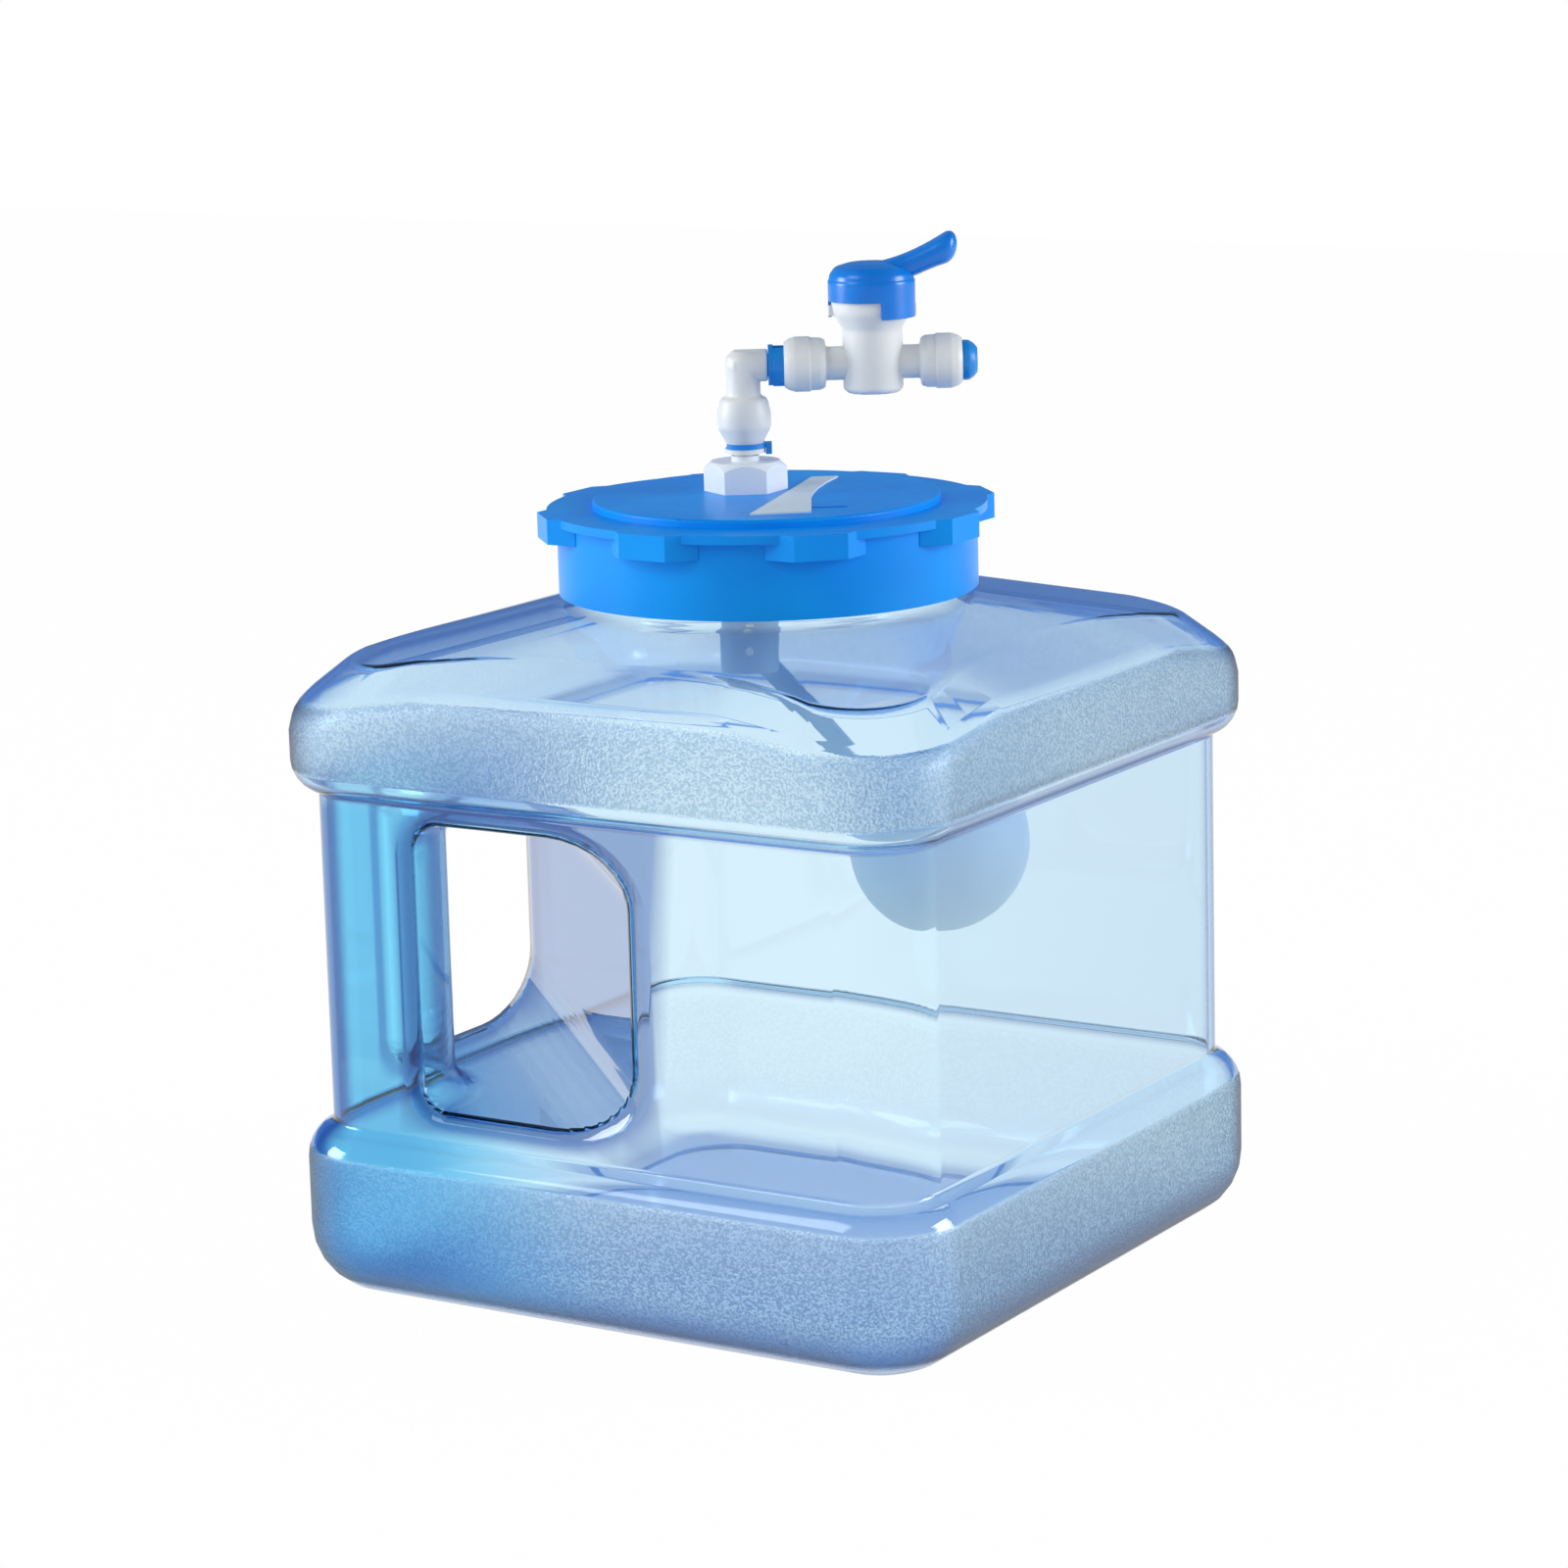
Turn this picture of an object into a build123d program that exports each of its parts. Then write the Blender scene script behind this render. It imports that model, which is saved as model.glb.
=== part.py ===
# Square water container with a carrying column, a screw cap, a float valve and an inline tap
from build123d import *
import math
import os

os.makedirs("parts", exist_ok=True)

# Container, blown in one piece
side = 225.0
wall = 2.0
band_corner_radius = 28.0
lower_band_height = 54.0
lower_band_shoulder_radius = 12.0
base_radius = 21.0
recess_depth = 3.0
recess_half = 82.0
recess_corner_radius = 22.0
middle_inset = 7.5
middle_corner_radius = 22.0
upper_band_bottom = 155.0
upper_band_underside_radius = 10.0
upper_band_corner_top = 178.0
corner_step_height = 184.5
corner_step_radius = 41.0
upper_band_top = 190.0
upper_band_top_radius = 55.0
crease_height = 198.0
crease_inset = 14.5
crease_arch = 17.0
crease_corner_radius = 22.0
neck_radius = 60.0
neck_wall = 3.0
neck_root_height = 207.0
neck_top = 230.5

# Carrying column at one corner, with the gap that the fingers go through
gap_wall_offset = 62.5
gap_bottom = 62.0
gap_top = 149.0
gap_corner_radius = 20.0
column_width = 42.5
column_inner_radius = 33.0
gap_edge_radius = 5.0
touch = 0.01

# Screw cap
thread_clearance = 0.1
skirt_radius = 63.5
skirt_bottom = 208.5
plate_radius = 66.5
plate_top = 234.0
plate_thickness = 2.6
lobe_count = 8
lobe_radius = 69.0
lobe_face_width = 16.0
lobe_foot_width = 30.0
lobe_foot_reach = 62.0
lobe_height = 7.6
disc_radius = 52.6
disc_height = 2.5
disc_edge_radius = 0.9
cap_thickness = 2.3
gasket_thickness = 1.5
gasket_width = 6.0
vent_length = 24.0
vent_width = 2.6
vent_across = 12.2
vent_forward = 30.0
strip_thickness = 0.5
strip_front_left = (-5.0, -42.6)
strip_front_right = (13.1, -40.0)
strip_bend = (13.4, -10.3)
strip_right_middle = (16.3, 11.0)
strip_back_right = (22.1, 32.0)
strip_back_left = (13.9, 31.4)
strip_left_middle = (5.3, -2.6)

# Float valve, through the cap
valve_heading = 32.0
valve_across = -6.2
valve_forward = -10.5
shank_radius = 6.0
shank_clearance = 0.15
washer_thickness = 1.5
washer_radius = 10.5
flange_radius = 11.0
flange_thickness = 3.0
valve_body_radius = 9.3
valve_neck_radius = 7.2
valve_neck_length = 10.0
valve_bottom = 180.0
nut_across_flats = 22.0
nut_height = 9.0
nut_chamfer = 2.2
tube_radius = 3.175
tube_bore_radius = 1.8
fit_clearance = 0.06
tube_shoulder_radius = 4.2
tube_shoulder_height = 1.6

# Arm, pin and plunger of the float valve
pivot_height = 187.0
pin_radius = 1.2
pin_clearance = 0.05
hub_radius = 2.4
nose_radius = 2.0
nose_reach = 2.5
nose_angle = 20.0
arm_angle = 47.7
arm_width = 5.0
arm_root_height = 6.5
arm_tip_height = 4.6
slot_side_gap = 0.2
slot_height = 4.9
plunger_radius = 3.2
plunger_foot_gap = 0.1
plunger_length = 7.6
plunger_travel = 1.0
chamber_radius = 4.6
chamber_height = 4.2
seal_radius = 3.0
seal_thickness = 1.4
seat_gap = 0.05
seat_radius = 2.4
seat_height = 1.2
orifice_radius = 1.1
port_width = 5.0

# Float ball
ball_radius = 28.0
ball_wall = 1.4
ball_distance = 82.4
boss_radius = 5.2
boss_length = 5.0
stub_radius = 2.0
stub_length = 9.0

# Elbow on the valve's tube
clip_thickness = 1.5
clip_radius = 6.5
clip_tab_width = 4.4
clip_tab_height = 3.4
clip_tab_reach = 8.2
clip_opening = 7.0
collet_flange_thickness = 1.5
collet_flange_radius = 6.2
collet_radius = 4.6
collet_length = 6.5
collet_gap = 0.1
elbow_collet_bottom = 247.9
barrel_length = 13.5
barrel_mouth_radius = 6.4
barrel_radius = 8.4
barrel_top_radius = 6.9
barrel_edge = 0.8
socket_depth = 11.0
seal_ring_radius = 0.9
pipe_radius = 5.1
pipe_bore_radius = 2.2
bend_radius = 6.0
pipe_axis_height = 274.3
elbow_arm_length = 7.6

# Inline tap
tap_half_length = 26.9
tap_distance = 39.4
tap_neck_end = 11.0
tap_barrel_end = 13.0
tap_barrel_foot_radius = 6.5
tap_barrel_step = 18.8
tap_barrel_shoulder = 22.0
tap_barrel_radius = 8.6
tap_step_radius = 8.0
tap_mouth_radius = 6.7
tap_neck_radius = 5.6
tap_body_radius = 9.1
tap_body_bottom = 9.7
tap_body_edge = 1.5
tap_socket_depth = 14.5
collar_foot = 10.2
collar_spread = 14.0
collar_radius = 12.2
collar_top = 22.6
chamber_wall_radius = 6.2
valve_ball_radius = 5.6
valve_ball_gap = 0.05
seat_ring_radius = 4.6
seat_ring_front = 4.2
seat_ring_back = 7.5
stem_radius = 3.0
stem_disc_radius = 6.1
stem_disc_bottom = 8.5
stem_disc_height = 7.0
stem_square = 4.4
stem_square_top = 26.0
lug_angle = 15.0
lug_radius = 13.3
lug_bottom = 14.6
lug_top = 17.6
outlet_collet_reach = 4.7
outlet_collet_radius = 6.8
outlet_collet_tip_radius = 5.5
outlet_press = 1.5
outlet_dome_drop = 0.4

# Lever of the tap
lever_clearance = 0.1
lever_skirt_radius = 13.5
lever_skirt_bottom = 18.3
lever_skirt_top = 24.3
lever_stop_bottom = 13.9
lever_turn = 90.0
lug_heading = 4.1
lever_stop_play = 0.1
lever_dome_height = 9.2
lever_hollow_radius = 7.0
lever_hollow_top = 25.6
paddle_width = 12.0
paddle_waist_width = 9.6
paddle_waist = 10.0
paddle_tip = 26.2
paddle_crest = [(0.0, 31.0), (9.0, 33.0), (18.1, 37.2), (22.6, 40.3)]
paddle_nose = [(23.6, 40.4), (25.8, 38.6), (25.9, 32.6), (24.4, 30.4)]
paddle_under = [(23.4, 29.8), (16.6, 28.2), (11.1, 24.6)]

# Sizes that follow from the ones above
half = side / 2
middle_half = half - middle_inset
cap_ceiling = neck_top + gasket_thickness
disc_top = plate_top + disc_height
disc_ceiling = disc_top - cap_thickness
cap_bore_radius = neck_radius + thread_clearance
nut_top = disc_top + nut_height
clip_bottom = elbow_collet_bottom + collet_flange_thickness
barrel_bottom = clip_bottom + clip_thickness
barrel_top = barrel_bottom + barrel_length
tube_top = barrel_bottom + socket_depth - fit_clearance
socket_radius = tube_radius + fit_clearance
flange_top = disc_ceiling - washer_thickness
flange_bottom = flange_top - flange_thickness
slot_top = pivot_height + slot_height
nose_top = nose_reach * math.sin(math.radians(nose_angle)) + nose_radius
plunger_bottom = pivot_height + nose_top + plunger_foot_gap
plunger_top = plunger_bottom + plunger_length
seal_top = plunger_top + seal_thickness
seat_level = seal_top + plunger_travel + seat_gap
chamber_bottom = seat_level - chamber_height
collet_top = barrel_bottom + collet_length
gland_radius = socket_radius + 2 * seal_ring_radius
gland_length = 2 * seal_ring_radius
elbow_end = tap_distance - tap_half_length + tap_socket_depth - fit_clearance
inlet_collet_start = elbow_arm_length + collet_gap - tap_distance
inlet_clip_start = inlet_collet_start + collet_flange_thickness
socket_end = tap_half_length - tap_socket_depth
outlet_flange_start = tap_half_length + outlet_press
outlet_collet_end = tap_half_length + outlet_collet_reach

# Planes: the valve's own plane, and the upright plane along the arm and the tap
turn = math.radians(valve_heading)
along = Vector(math.cos(turn), math.sin(turn), 0)
toward = Vector(math.sin(turn), -math.cos(turn), 0)
valve_centre = along * valve_across + toward * valve_forward
tap_centre = valve_centre + along * tap_distance + Vector(0, 0, pipe_axis_height)
valve_plane = Plane(origin=valve_centre, x_dir=along, z_dir=(0, 0, 1))
upright = Plane(origin=valve_centre, x_dir=along, z_dir=toward)
tap_upright = Plane(origin=tap_centre, x_dir=along, z_dir=toward)
tap_plane = Plane(origin=tap_centre, x_dir=along, z_dir=(0, 0, 1))
valve_axis = Axis(valve_centre, (0, 0, 1))
tap_pipe_axis = Axis(tap_centre, along)
tap_stem_axis = Axis(tap_centre, (0, 0, 1))


def turned(plane, axis, points):
    """A solid turned about an axis from a closed outline in one plane."""
    with BuildPart() as solid:
        with BuildSketch(plane):
            with BuildLine():
                Polyline(*points, close=True)
            make_face()
        revolve(axis=axis)
    return solid.part


def arched_square(height, reach, arch, radius):
    """A square outline with its sides bowed inward and its corners rounded."""
    corners = [(reach, reach), (-reach, reach), (-reach, -reach), (reach, -reach)]
    middles = [(0, reach - arch), (arch - reach, 0), (0, arch - reach), (reach - arch, 0)]
    with BuildSketch(Plane.XY.offset(height)) as outline:
        with BuildLine():
            for index, middle in enumerate(middles):
                start = corners[index]
                end = corners[(index + 1) % len(corners)]
                ThreePointArc(start, middle, end)
        make_face()
        fillet(outline.vertices(), radius)
    return outline.sketch


def divided_circle(height, radius, corner_share=16.0):
    """A circle made of a short arc at each corner and a long one along each side."""
    with BuildSketch(Plane.XY.offset(height)) as outline:
        with BuildLine():
            for corner in range(4):
                middle = 45 + 90 * corner
                CenterArc((0, 0), radius, middle - corner_share, 2 * corner_share)
                CenterArc((0, 0), radius, middle + corner_share, 90 - 2 * corner_share)
        make_face()
    return outline.sketch


def lower_band(inset):
    """The frosted band at the bottom, rounded into the base and onto the wall above."""
    with BuildPart() as band:
        with BuildSketch(Plane.XY.offset(inset)):
            width = side - 2 * inset
            RectangleRounded(width, width, band_corner_radius - inset)
        extrude(amount=lower_band_height - 2 * inset)
        fillet(band.edges().group_by(Axis.Z)[-1], lower_band_shoulder_radius - inset)
        fillet(band.edges().group_by(Axis.Z)[0], base_radius - inset)
    return band.part


def upper_band(inset):
    """The frosted band at the top, up to where its corners start to draw in."""
    with BuildPart() as band:
        with BuildSketch(Plane.XY.offset(upper_band_bottom + inset)):
            width = side - 2 * inset
            RectangleRounded(width, width, band_corner_radius - inset)
        extrude(amount=upper_band_corner_top - upper_band_bottom - inset)
        fillet(band.edges().group_by(Axis.Z)[0], upper_band_underside_radius - inset)
    return band.part


def middle_wall(inset):
    """The clear wall between the bands."""
    with BuildPart() as middle:
        with BuildSketch(Plane.XY.offset(lower_band_height / 2)):
            width = 2 * (middle_half - inset)
            RectangleRounded(width, width, middle_corner_radius - inset)
        extrude(amount=upper_band_corner_top - lower_band_height / 2)
    return middle.part


def shoulder(inset):
    """The shoulder: drawn-in corners, four panels up to a crease, and a cone to the neck."""
    steps = [
        (upper_band_corner_top, half, band_corner_radius),
        (corner_step_height - inset / 3, half, corner_step_radius),
        (upper_band_top - inset / 2, half, upper_band_top_radius),
    ]
    crease = arched_square(
        crease_height - inset,
        half - crease_inset - inset,
        crease_arch,
        crease_corner_radius - inset,
    )
    root = divided_circle(neck_root_height - inset, neck_radius - min(inset * 2, neck_wall))
    with BuildPart() as form:
        for height, reach, radius in steps:
            with BuildSketch(Plane.XY.offset(height)):
                width = 2 * (reach - inset)
                RectangleRounded(width, width, radius - inset)
        add(crease)
        loft(ruled=True)
    with BuildPart() as top:
        add(crease)
        add(root)
        loft(ruled=True)
    return form.part + top.part


def neck(inset):
    """The round neck, closed here and opened by the cavity."""
    with BuildPart() as tube:
        with BuildSketch(Plane.XY.offset(neck_root_height - wall - inset)):
            Circle(neck_radius - inset)
        extrude(amount=neck_top - neck_root_height + wall + inset + inset)
    return tube.part


def bottle_form(inset, neck_inset):
    """The closed outer form, or the cavity when it is set in by the wall."""
    with BuildPart() as form:
        add(lower_band(inset))
        add(middle_wall(inset))
        add(upper_band(inset))
        add(shoulder(inset))
        add(neck(neck_inset))
    return form.part


def finger_gap(growth):
    """The gap behind the carrying column, open through both faces of the corner."""
    across = Plane(origin=(0, 0, 0), x_dir=(1, 1, 0), z_dir=(1, -1, 0))
    height = gap_top - gap_bottom + 2 * growth
    with BuildPart() as gap:
        with BuildSketch(across):
            centre = -gap_wall_offset + growth - side / 2
            with Locations((centre, (gap_top + gap_bottom) / 2)):
                RectangleRounded(side, height, gap_corner_radius + growth)
        extrude(amount=side, both=True)
        with BuildSketch(Plane.XY) as column:
            inner_corner = -middle_half + column_width - growth
            with Locations((inner_corner - side / 2, inner_corner - side / 2)):
                Rectangle(side, side)
            fillet(column.vertices().sort_by(Axis((0, 0, 0), (1, 1, 0)))[-1], column_inner_radius - growth)
        extrude(amount=side, mode=Mode.SUBTRACT)
    return gap.part


def base_recess(growth):
    """The shallow recess under the base, so that the container stands on a flat rim."""
    with BuildPart() as recess:
        with BuildSketch(Plane.XY):
            width = 2 * (recess_half + growth)
            RectangleRounded(width, width, recess_corner_radius + growth)
        extrude(amount=recess_depth + growth, taper=45)
    return recess.part


def gap_mouth(body, inset):
    """The edges of the finger gap in the two faces that it runs through."""
    face = inset - middle_half
    flat_end = middle_half - middle_corner_radius - gap_edge_radius
    mouth = []
    for across, beside in ((Axis.Y, Axis.X), (Axis.X, Axis.Y)):
        mouth += (
            body.edges()
            .filter_by_position(across, face - touch, face + touch)
            .filter_by_position(beside, -flat_end, flat_end)
            .filter_by_position(Axis.Z, gap_bottom - inset - touch, gap_top + inset + touch)
        )
    return mouth


def with_soft_gap(form, inset):
    """A form with the finger gap taken out and the gap's edges rounded."""
    with BuildPart() as body:
        add(form)
        add(finger_gap(inset), mode=Mode.SUBTRACT)
        fillet(gap_mouth(body, inset), gap_edge_radius - inset)
    return body.part


def cavity():
    """The room inside, with the raised floor over the recess in the base."""
    with BuildPart() as room:
        add(with_soft_gap(bottle_form(wall, neck_wall), wall))
        add(base_recess(wall), mode=Mode.SUBTRACT)
    return room.part


def lever_paddle():
    """The paddle of the lever: its plan outline cut to its side profile."""
    with BuildPart() as paddle:
        with BuildSketch(tap_plane):
            tip_centre = paddle_tip - paddle_width / 2
            Polygon(
                (0, -paddle_waist_width / 2),
                (paddle_waist, -paddle_waist_width / 2),
                (tip_centre, -paddle_width / 2),
                (tip_centre, paddle_width / 2),
                (paddle_waist, paddle_waist_width / 2),
                (0, paddle_waist_width / 2),
                align=None,
            )
            with Locations((tip_centre, 0)):
                Circle(paddle_width / 2)
        extrude(amount=2 * collar_top)
        with BuildSketch(tap_upright):
            with BuildLine():
                top = Spline(paddle_crest)
                tip = Spline(paddle_nose)
                under = Spline(paddle_under)
                Line(top @ 1, tip @ 0)
                Line(tip @ 1, under @ 0)
                Polyline(under @ 1, (0, (under @ 1).Y), top @ 0)
            make_face()
        extrude(amount=paddle_width, both=True, mode=Mode.INTERSECT)
    return paddle.part


# Container body: one blown moulding, with the hollow column and the finger gap
with BuildPart() as container_body:
    add(with_soft_gap(bottle_form(0, 0), 0))
    add(base_recess(0), mode=Mode.SUBTRACT)
    add(cavity(), mode=Mode.SUBTRACT)
container_body.part.label = "container_body"
export_step(container_body.part, "parts/container_body.step")

# Screw cap: skirt, lobed plate, raised disc, and the ceiling that presses on the gasket
with BuildPart() as cap:
    with BuildSketch(Plane.XY.offset(skirt_bottom)):
        Circle(skirt_radius)
    extrude(amount=plate_top - skirt_bottom)
    with BuildSketch(Plane.XY.offset(plate_top - plate_thickness)):
        Circle(plate_radius)
    extrude(amount=plate_thickness)
    with BuildSketch(Plane.XY.offset(plate_top - lobe_height)):
        with PolarLocations(0, lobe_count):
            Polygon(
                (0, -lobe_foot_width / 2),
                (lobe_foot_reach, -lobe_foot_width / 2),
                (lobe_radius, -lobe_face_width / 2),
                (lobe_radius, lobe_face_width / 2),
                (lobe_foot_reach, lobe_foot_width / 2),
                (0, lobe_foot_width / 2),
                align=None,
            )
    extrude(amount=lobe_height)
    with BuildSketch(Plane.XY.offset(plate_top)):
        Circle(disc_radius)
    extrude(amount=disc_height)
    fillet(cap.edges().group_by(Axis.Z)[-1], disc_edge_radius)
    with BuildSketch(Plane.XY.offset(skirt_bottom)):
        Circle(cap_bore_radius)
    extrude(amount=cap_ceiling - skirt_bottom, mode=Mode.SUBTRACT)
    with BuildSketch(Plane.XY.offset(cap_ceiling)):
        Circle(disc_radius - cap_thickness)
    extrude(amount=disc_ceiling - cap_ceiling, mode=Mode.SUBTRACT)
    with BuildSketch(valve_plane.offset(disc_ceiling)):
        Circle(shank_radius + shank_clearance)
    extrude(amount=cap_thickness, mode=Mode.SUBTRACT)
    vent_place = along * vent_across + toward * vent_forward
    with BuildSketch(Plane(origin=vent_place, x_dir=along).offset(disc_ceiling)):
        SlotOverall(vent_length, vent_width)
    extrude(amount=cap_thickness, mode=Mode.SUBTRACT)
cap.part.label = "cap"
export_step(cap.part, "parts/cap.step")

# Gasket: a flat ring between the cap's ceiling and the rim of the neck
with BuildPart() as cap_gasket:
    with BuildSketch(Plane.XY.offset(neck_top)):
        Circle(neck_radius - thread_clearance)
        Circle(neck_radius - gasket_width, mode=Mode.SUBTRACT)
    extrude(amount=gasket_thickness)
cap_gasket.part.label = "cap_gasket"
export_step(cap_gasket.part, "parts/cap_gasket.step")

# Strip: a bare pale strip laid across the disc, beside the vent
with BuildPart() as cap_strip:
    with BuildSketch(Plane(origin=(0, 0, disc_top), x_dir=along)) as outline:
        with BuildLine():
            Line(strip_front_left, strip_front_right)
            Line(strip_front_right, strip_bend)
            ThreePointArc(strip_bend, strip_right_middle, strip_back_right)
            Line(strip_back_right, strip_back_left)
            ThreePointArc(strip_back_left, strip_left_middle, strip_front_left)
        make_face()
    extrude(amount=strip_thickness)
cap_strip.part.label = "cap_strip"
export_step(cap_strip.part, "parts/cap_strip.step")

# Float valve body: flange, threaded shank, tube stub above, chamber and arm fork below
with BuildPart() as float_valve_body:
    add(
        turned(
            upright,
            valve_axis,
            [
                (0, valve_bottom),
                (valve_body_radius, valve_bottom),
                (valve_body_radius, flange_bottom - valve_neck_length),
                (valve_neck_radius, flange_bottom - valve_neck_length),
                (valve_neck_radius, flange_bottom),
                (flange_radius, flange_bottom),
                (flange_radius, flange_top),
                (shank_radius, flange_top),
                (shank_radius, nut_top),
                (tube_shoulder_radius, nut_top),
                (tube_shoulder_radius, nut_top + tube_shoulder_height),
                (tube_radius, nut_top + tube_shoulder_height),
                (tube_radius, tube_top),
                (0, tube_top),
            ],
        )
    )
    add(
        turned(
            upright,
            valve_axis,
            [
                (0, seat_level + seat_height),
                (0, tube_top),
                (tube_bore_radius, tube_top),
                (tube_bore_radius, seat_level + seat_height),
            ],
        ),
        mode=Mode.SUBTRACT,
    )
    add(
        turned(
            upright,
            valve_axis,
            [
                (0, plunger_bottom - plunger_foot_gap),
                (plunger_radius + fit_clearance, plunger_bottom - plunger_foot_gap),
                (plunger_radius + fit_clearance, chamber_bottom),
                (chamber_radius, chamber_bottom),
                (chamber_radius, seat_level + seat_height),
                (seat_radius, seat_level + seat_height),
                (seat_radius, seat_level),
                (orifice_radius, seat_level),
                (orifice_radius, seat_level + seat_height),
                (0, seat_level + seat_height),
            ],
        ),
        mode=Mode.SUBTRACT,
    )
    with BuildSketch(upright):
        with Locations((0, (valve_bottom + slot_top) / 2)):
            Rectangle(2 * valve_body_radius, slot_top - valve_bottom)
    extrude(amount=arm_width / 2 + slot_side_gap, both=True, mode=Mode.SUBTRACT)
    with BuildSketch(upright):
        with Locations((0, (chamber_bottom + seat_level) / 2)):
            Rectangle(port_width, seat_level - chamber_bottom)
    extrude(amount=valve_body_radius, both=True, mode=Mode.SUBTRACT)
    with BuildSketch(upright):
        with Locations((0, pivot_height)):
            Circle(pin_radius)
    extrude(amount=valve_body_radius, both=True, mode=Mode.SUBTRACT)
float_valve_body.part.label = "float_valve_body"
export_step(float_valve_body.part, "parts/float_valve_body.step")

# Washer under the cap
with BuildPart() as lid_washer:
    with BuildSketch(valve_plane.offset(flange_top)):
        Circle(washer_radius)
        Circle(shank_radius + shank_clearance, mode=Mode.SUBTRACT)
    extrude(amount=washer_thickness)
lid_washer.part.label = "lid_washer"
export_step(lid_washer.part, "parts/lid_washer.step")

# Hexagon nut on top of the cap
with BuildPart() as lid_nut:
    with BuildSketch(valve_plane.offset(disc_top)):
        RegularPolygon(nut_across_flats / 2, 6, major_radius=False)
    extrude(amount=nut_height)
    corner_radius = nut_across_flats / 2 / math.cos(math.pi / 6)
    add(
        turned(
            upright,
            valve_axis,
            [
                (corner_radius - nut_chamfer, nut_top),
                (corner_radius + nut_chamfer, nut_top),
                (corner_radius + nut_chamfer, nut_top - 2 * nut_chamfer),
            ],
        ),
        mode=Mode.SUBTRACT,
    )
    with BuildSketch(valve_plane.offset(disc_top)):
        Circle(shank_radius)
    extrude(amount=nut_height, mode=Mode.SUBTRACT)
lid_nut.part.label = "lid_nut"
export_step(lid_nut.part, "parts/lid_nut.step")

# Pin that the float arm turns on
with BuildPart() as arm_pin:
    with BuildSketch(upright):
        with Locations((0, pivot_height)):
            Circle(pin_radius)
    extrude(amount=valve_body_radius - touch, both=True)
arm_pin.part.label = "arm_pin"
export_step(arm_pin.part, "parts/arm_pin.step")

# Float arm: hub with the nose that lifts the plunger, tapered bar and stub in the ball
slope = math.radians(-arm_angle)
arm_direction = along * math.cos(slope) + Vector(0, 0, math.sin(slope))
pivot = valve_centre + Vector(0, 0, pivot_height)
ball_centre = pivot + arm_direction * ball_distance
arm_plane = Plane(origin=pivot, x_dir=arm_direction, z_dir=toward)
arm_end = ball_distance - ball_radius - boss_length
with BuildPart() as float_arm:
    with BuildSketch(arm_plane):
        Circle(hub_radius)
        nose_turn = math.radians(nose_angle + arm_angle)
        with Locations((nose_reach * math.cos(nose_turn), nose_reach * math.sin(nose_turn))):
            Circle(nose_radius)
        with BuildLine():
            Polyline(
                (0, -hub_radius),
                (2 * hub_radius, -arm_root_height / 2),
                (arm_end, -arm_tip_height / 2),
                (arm_end, arm_tip_height / 2),
                (3 * hub_radius, arm_root_height / 2),
                (0, hub_radius),
                close=True,
            )
        make_face()
    extrude(amount=arm_width / 2, both=True)
    with BuildSketch(arm_plane):
        Circle(pin_radius + pin_clearance)
    extrude(amount=arm_width / 2, both=True, mode=Mode.SUBTRACT)
    with BuildSketch(Plane(origin=pivot, z_dir=arm_direction).offset(arm_end)):
        Circle(stub_radius)
    extrude(amount=stub_length)
float_arm.part.label = "float_arm"
export_step(float_arm.part, "parts/float_arm.step")

# Float ball: a hollow ball with a boss for the arm's stub
with BuildPart() as float_ball:
    with Locations(ball_centre):
        Sphere(ball_radius)
    with BuildSketch(Plane(origin=pivot, z_dir=arm_direction).offset(arm_end)):
        Circle(boss_radius)
    extrude(amount=boss_length + ball_wall + stub_length)
    with Locations(ball_centre):
        Sphere(ball_radius - ball_wall, mode=Mode.SUBTRACT)
    with BuildSketch(Plane(origin=pivot, z_dir=arm_direction).offset(arm_end)):
        Circle(boss_radius)
    extrude(amount=stub_length + ball_wall)
    with BuildSketch(Plane(origin=pivot, z_dir=arm_direction).offset(arm_end)):
        Circle(stub_radius)
    extrude(amount=stub_length, mode=Mode.SUBTRACT)
float_ball.part.label = "float_ball"
export_step(float_ball.part, "parts/float_ball.step")

# Plunger that closes the valve, and the rubber disc on its top
with BuildPart() as valve_plunger:
    with BuildSketch(valve_plane.offset(plunger_bottom)):
        Circle(plunger_radius)
    extrude(amount=plunger_length)
valve_plunger.part.label = "valve_plunger"
export_step(valve_plunger.part, "parts/valve_plunger.step")

with BuildPart() as plunger_seal:
    with BuildSketch(valve_plane.offset(plunger_top)):
        Circle(seal_radius)
    extrude(amount=seal_thickness)
plunger_seal.part.label = "plunger_seal"
export_step(plunger_seal.part, "parts/plunger_seal.step")

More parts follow.
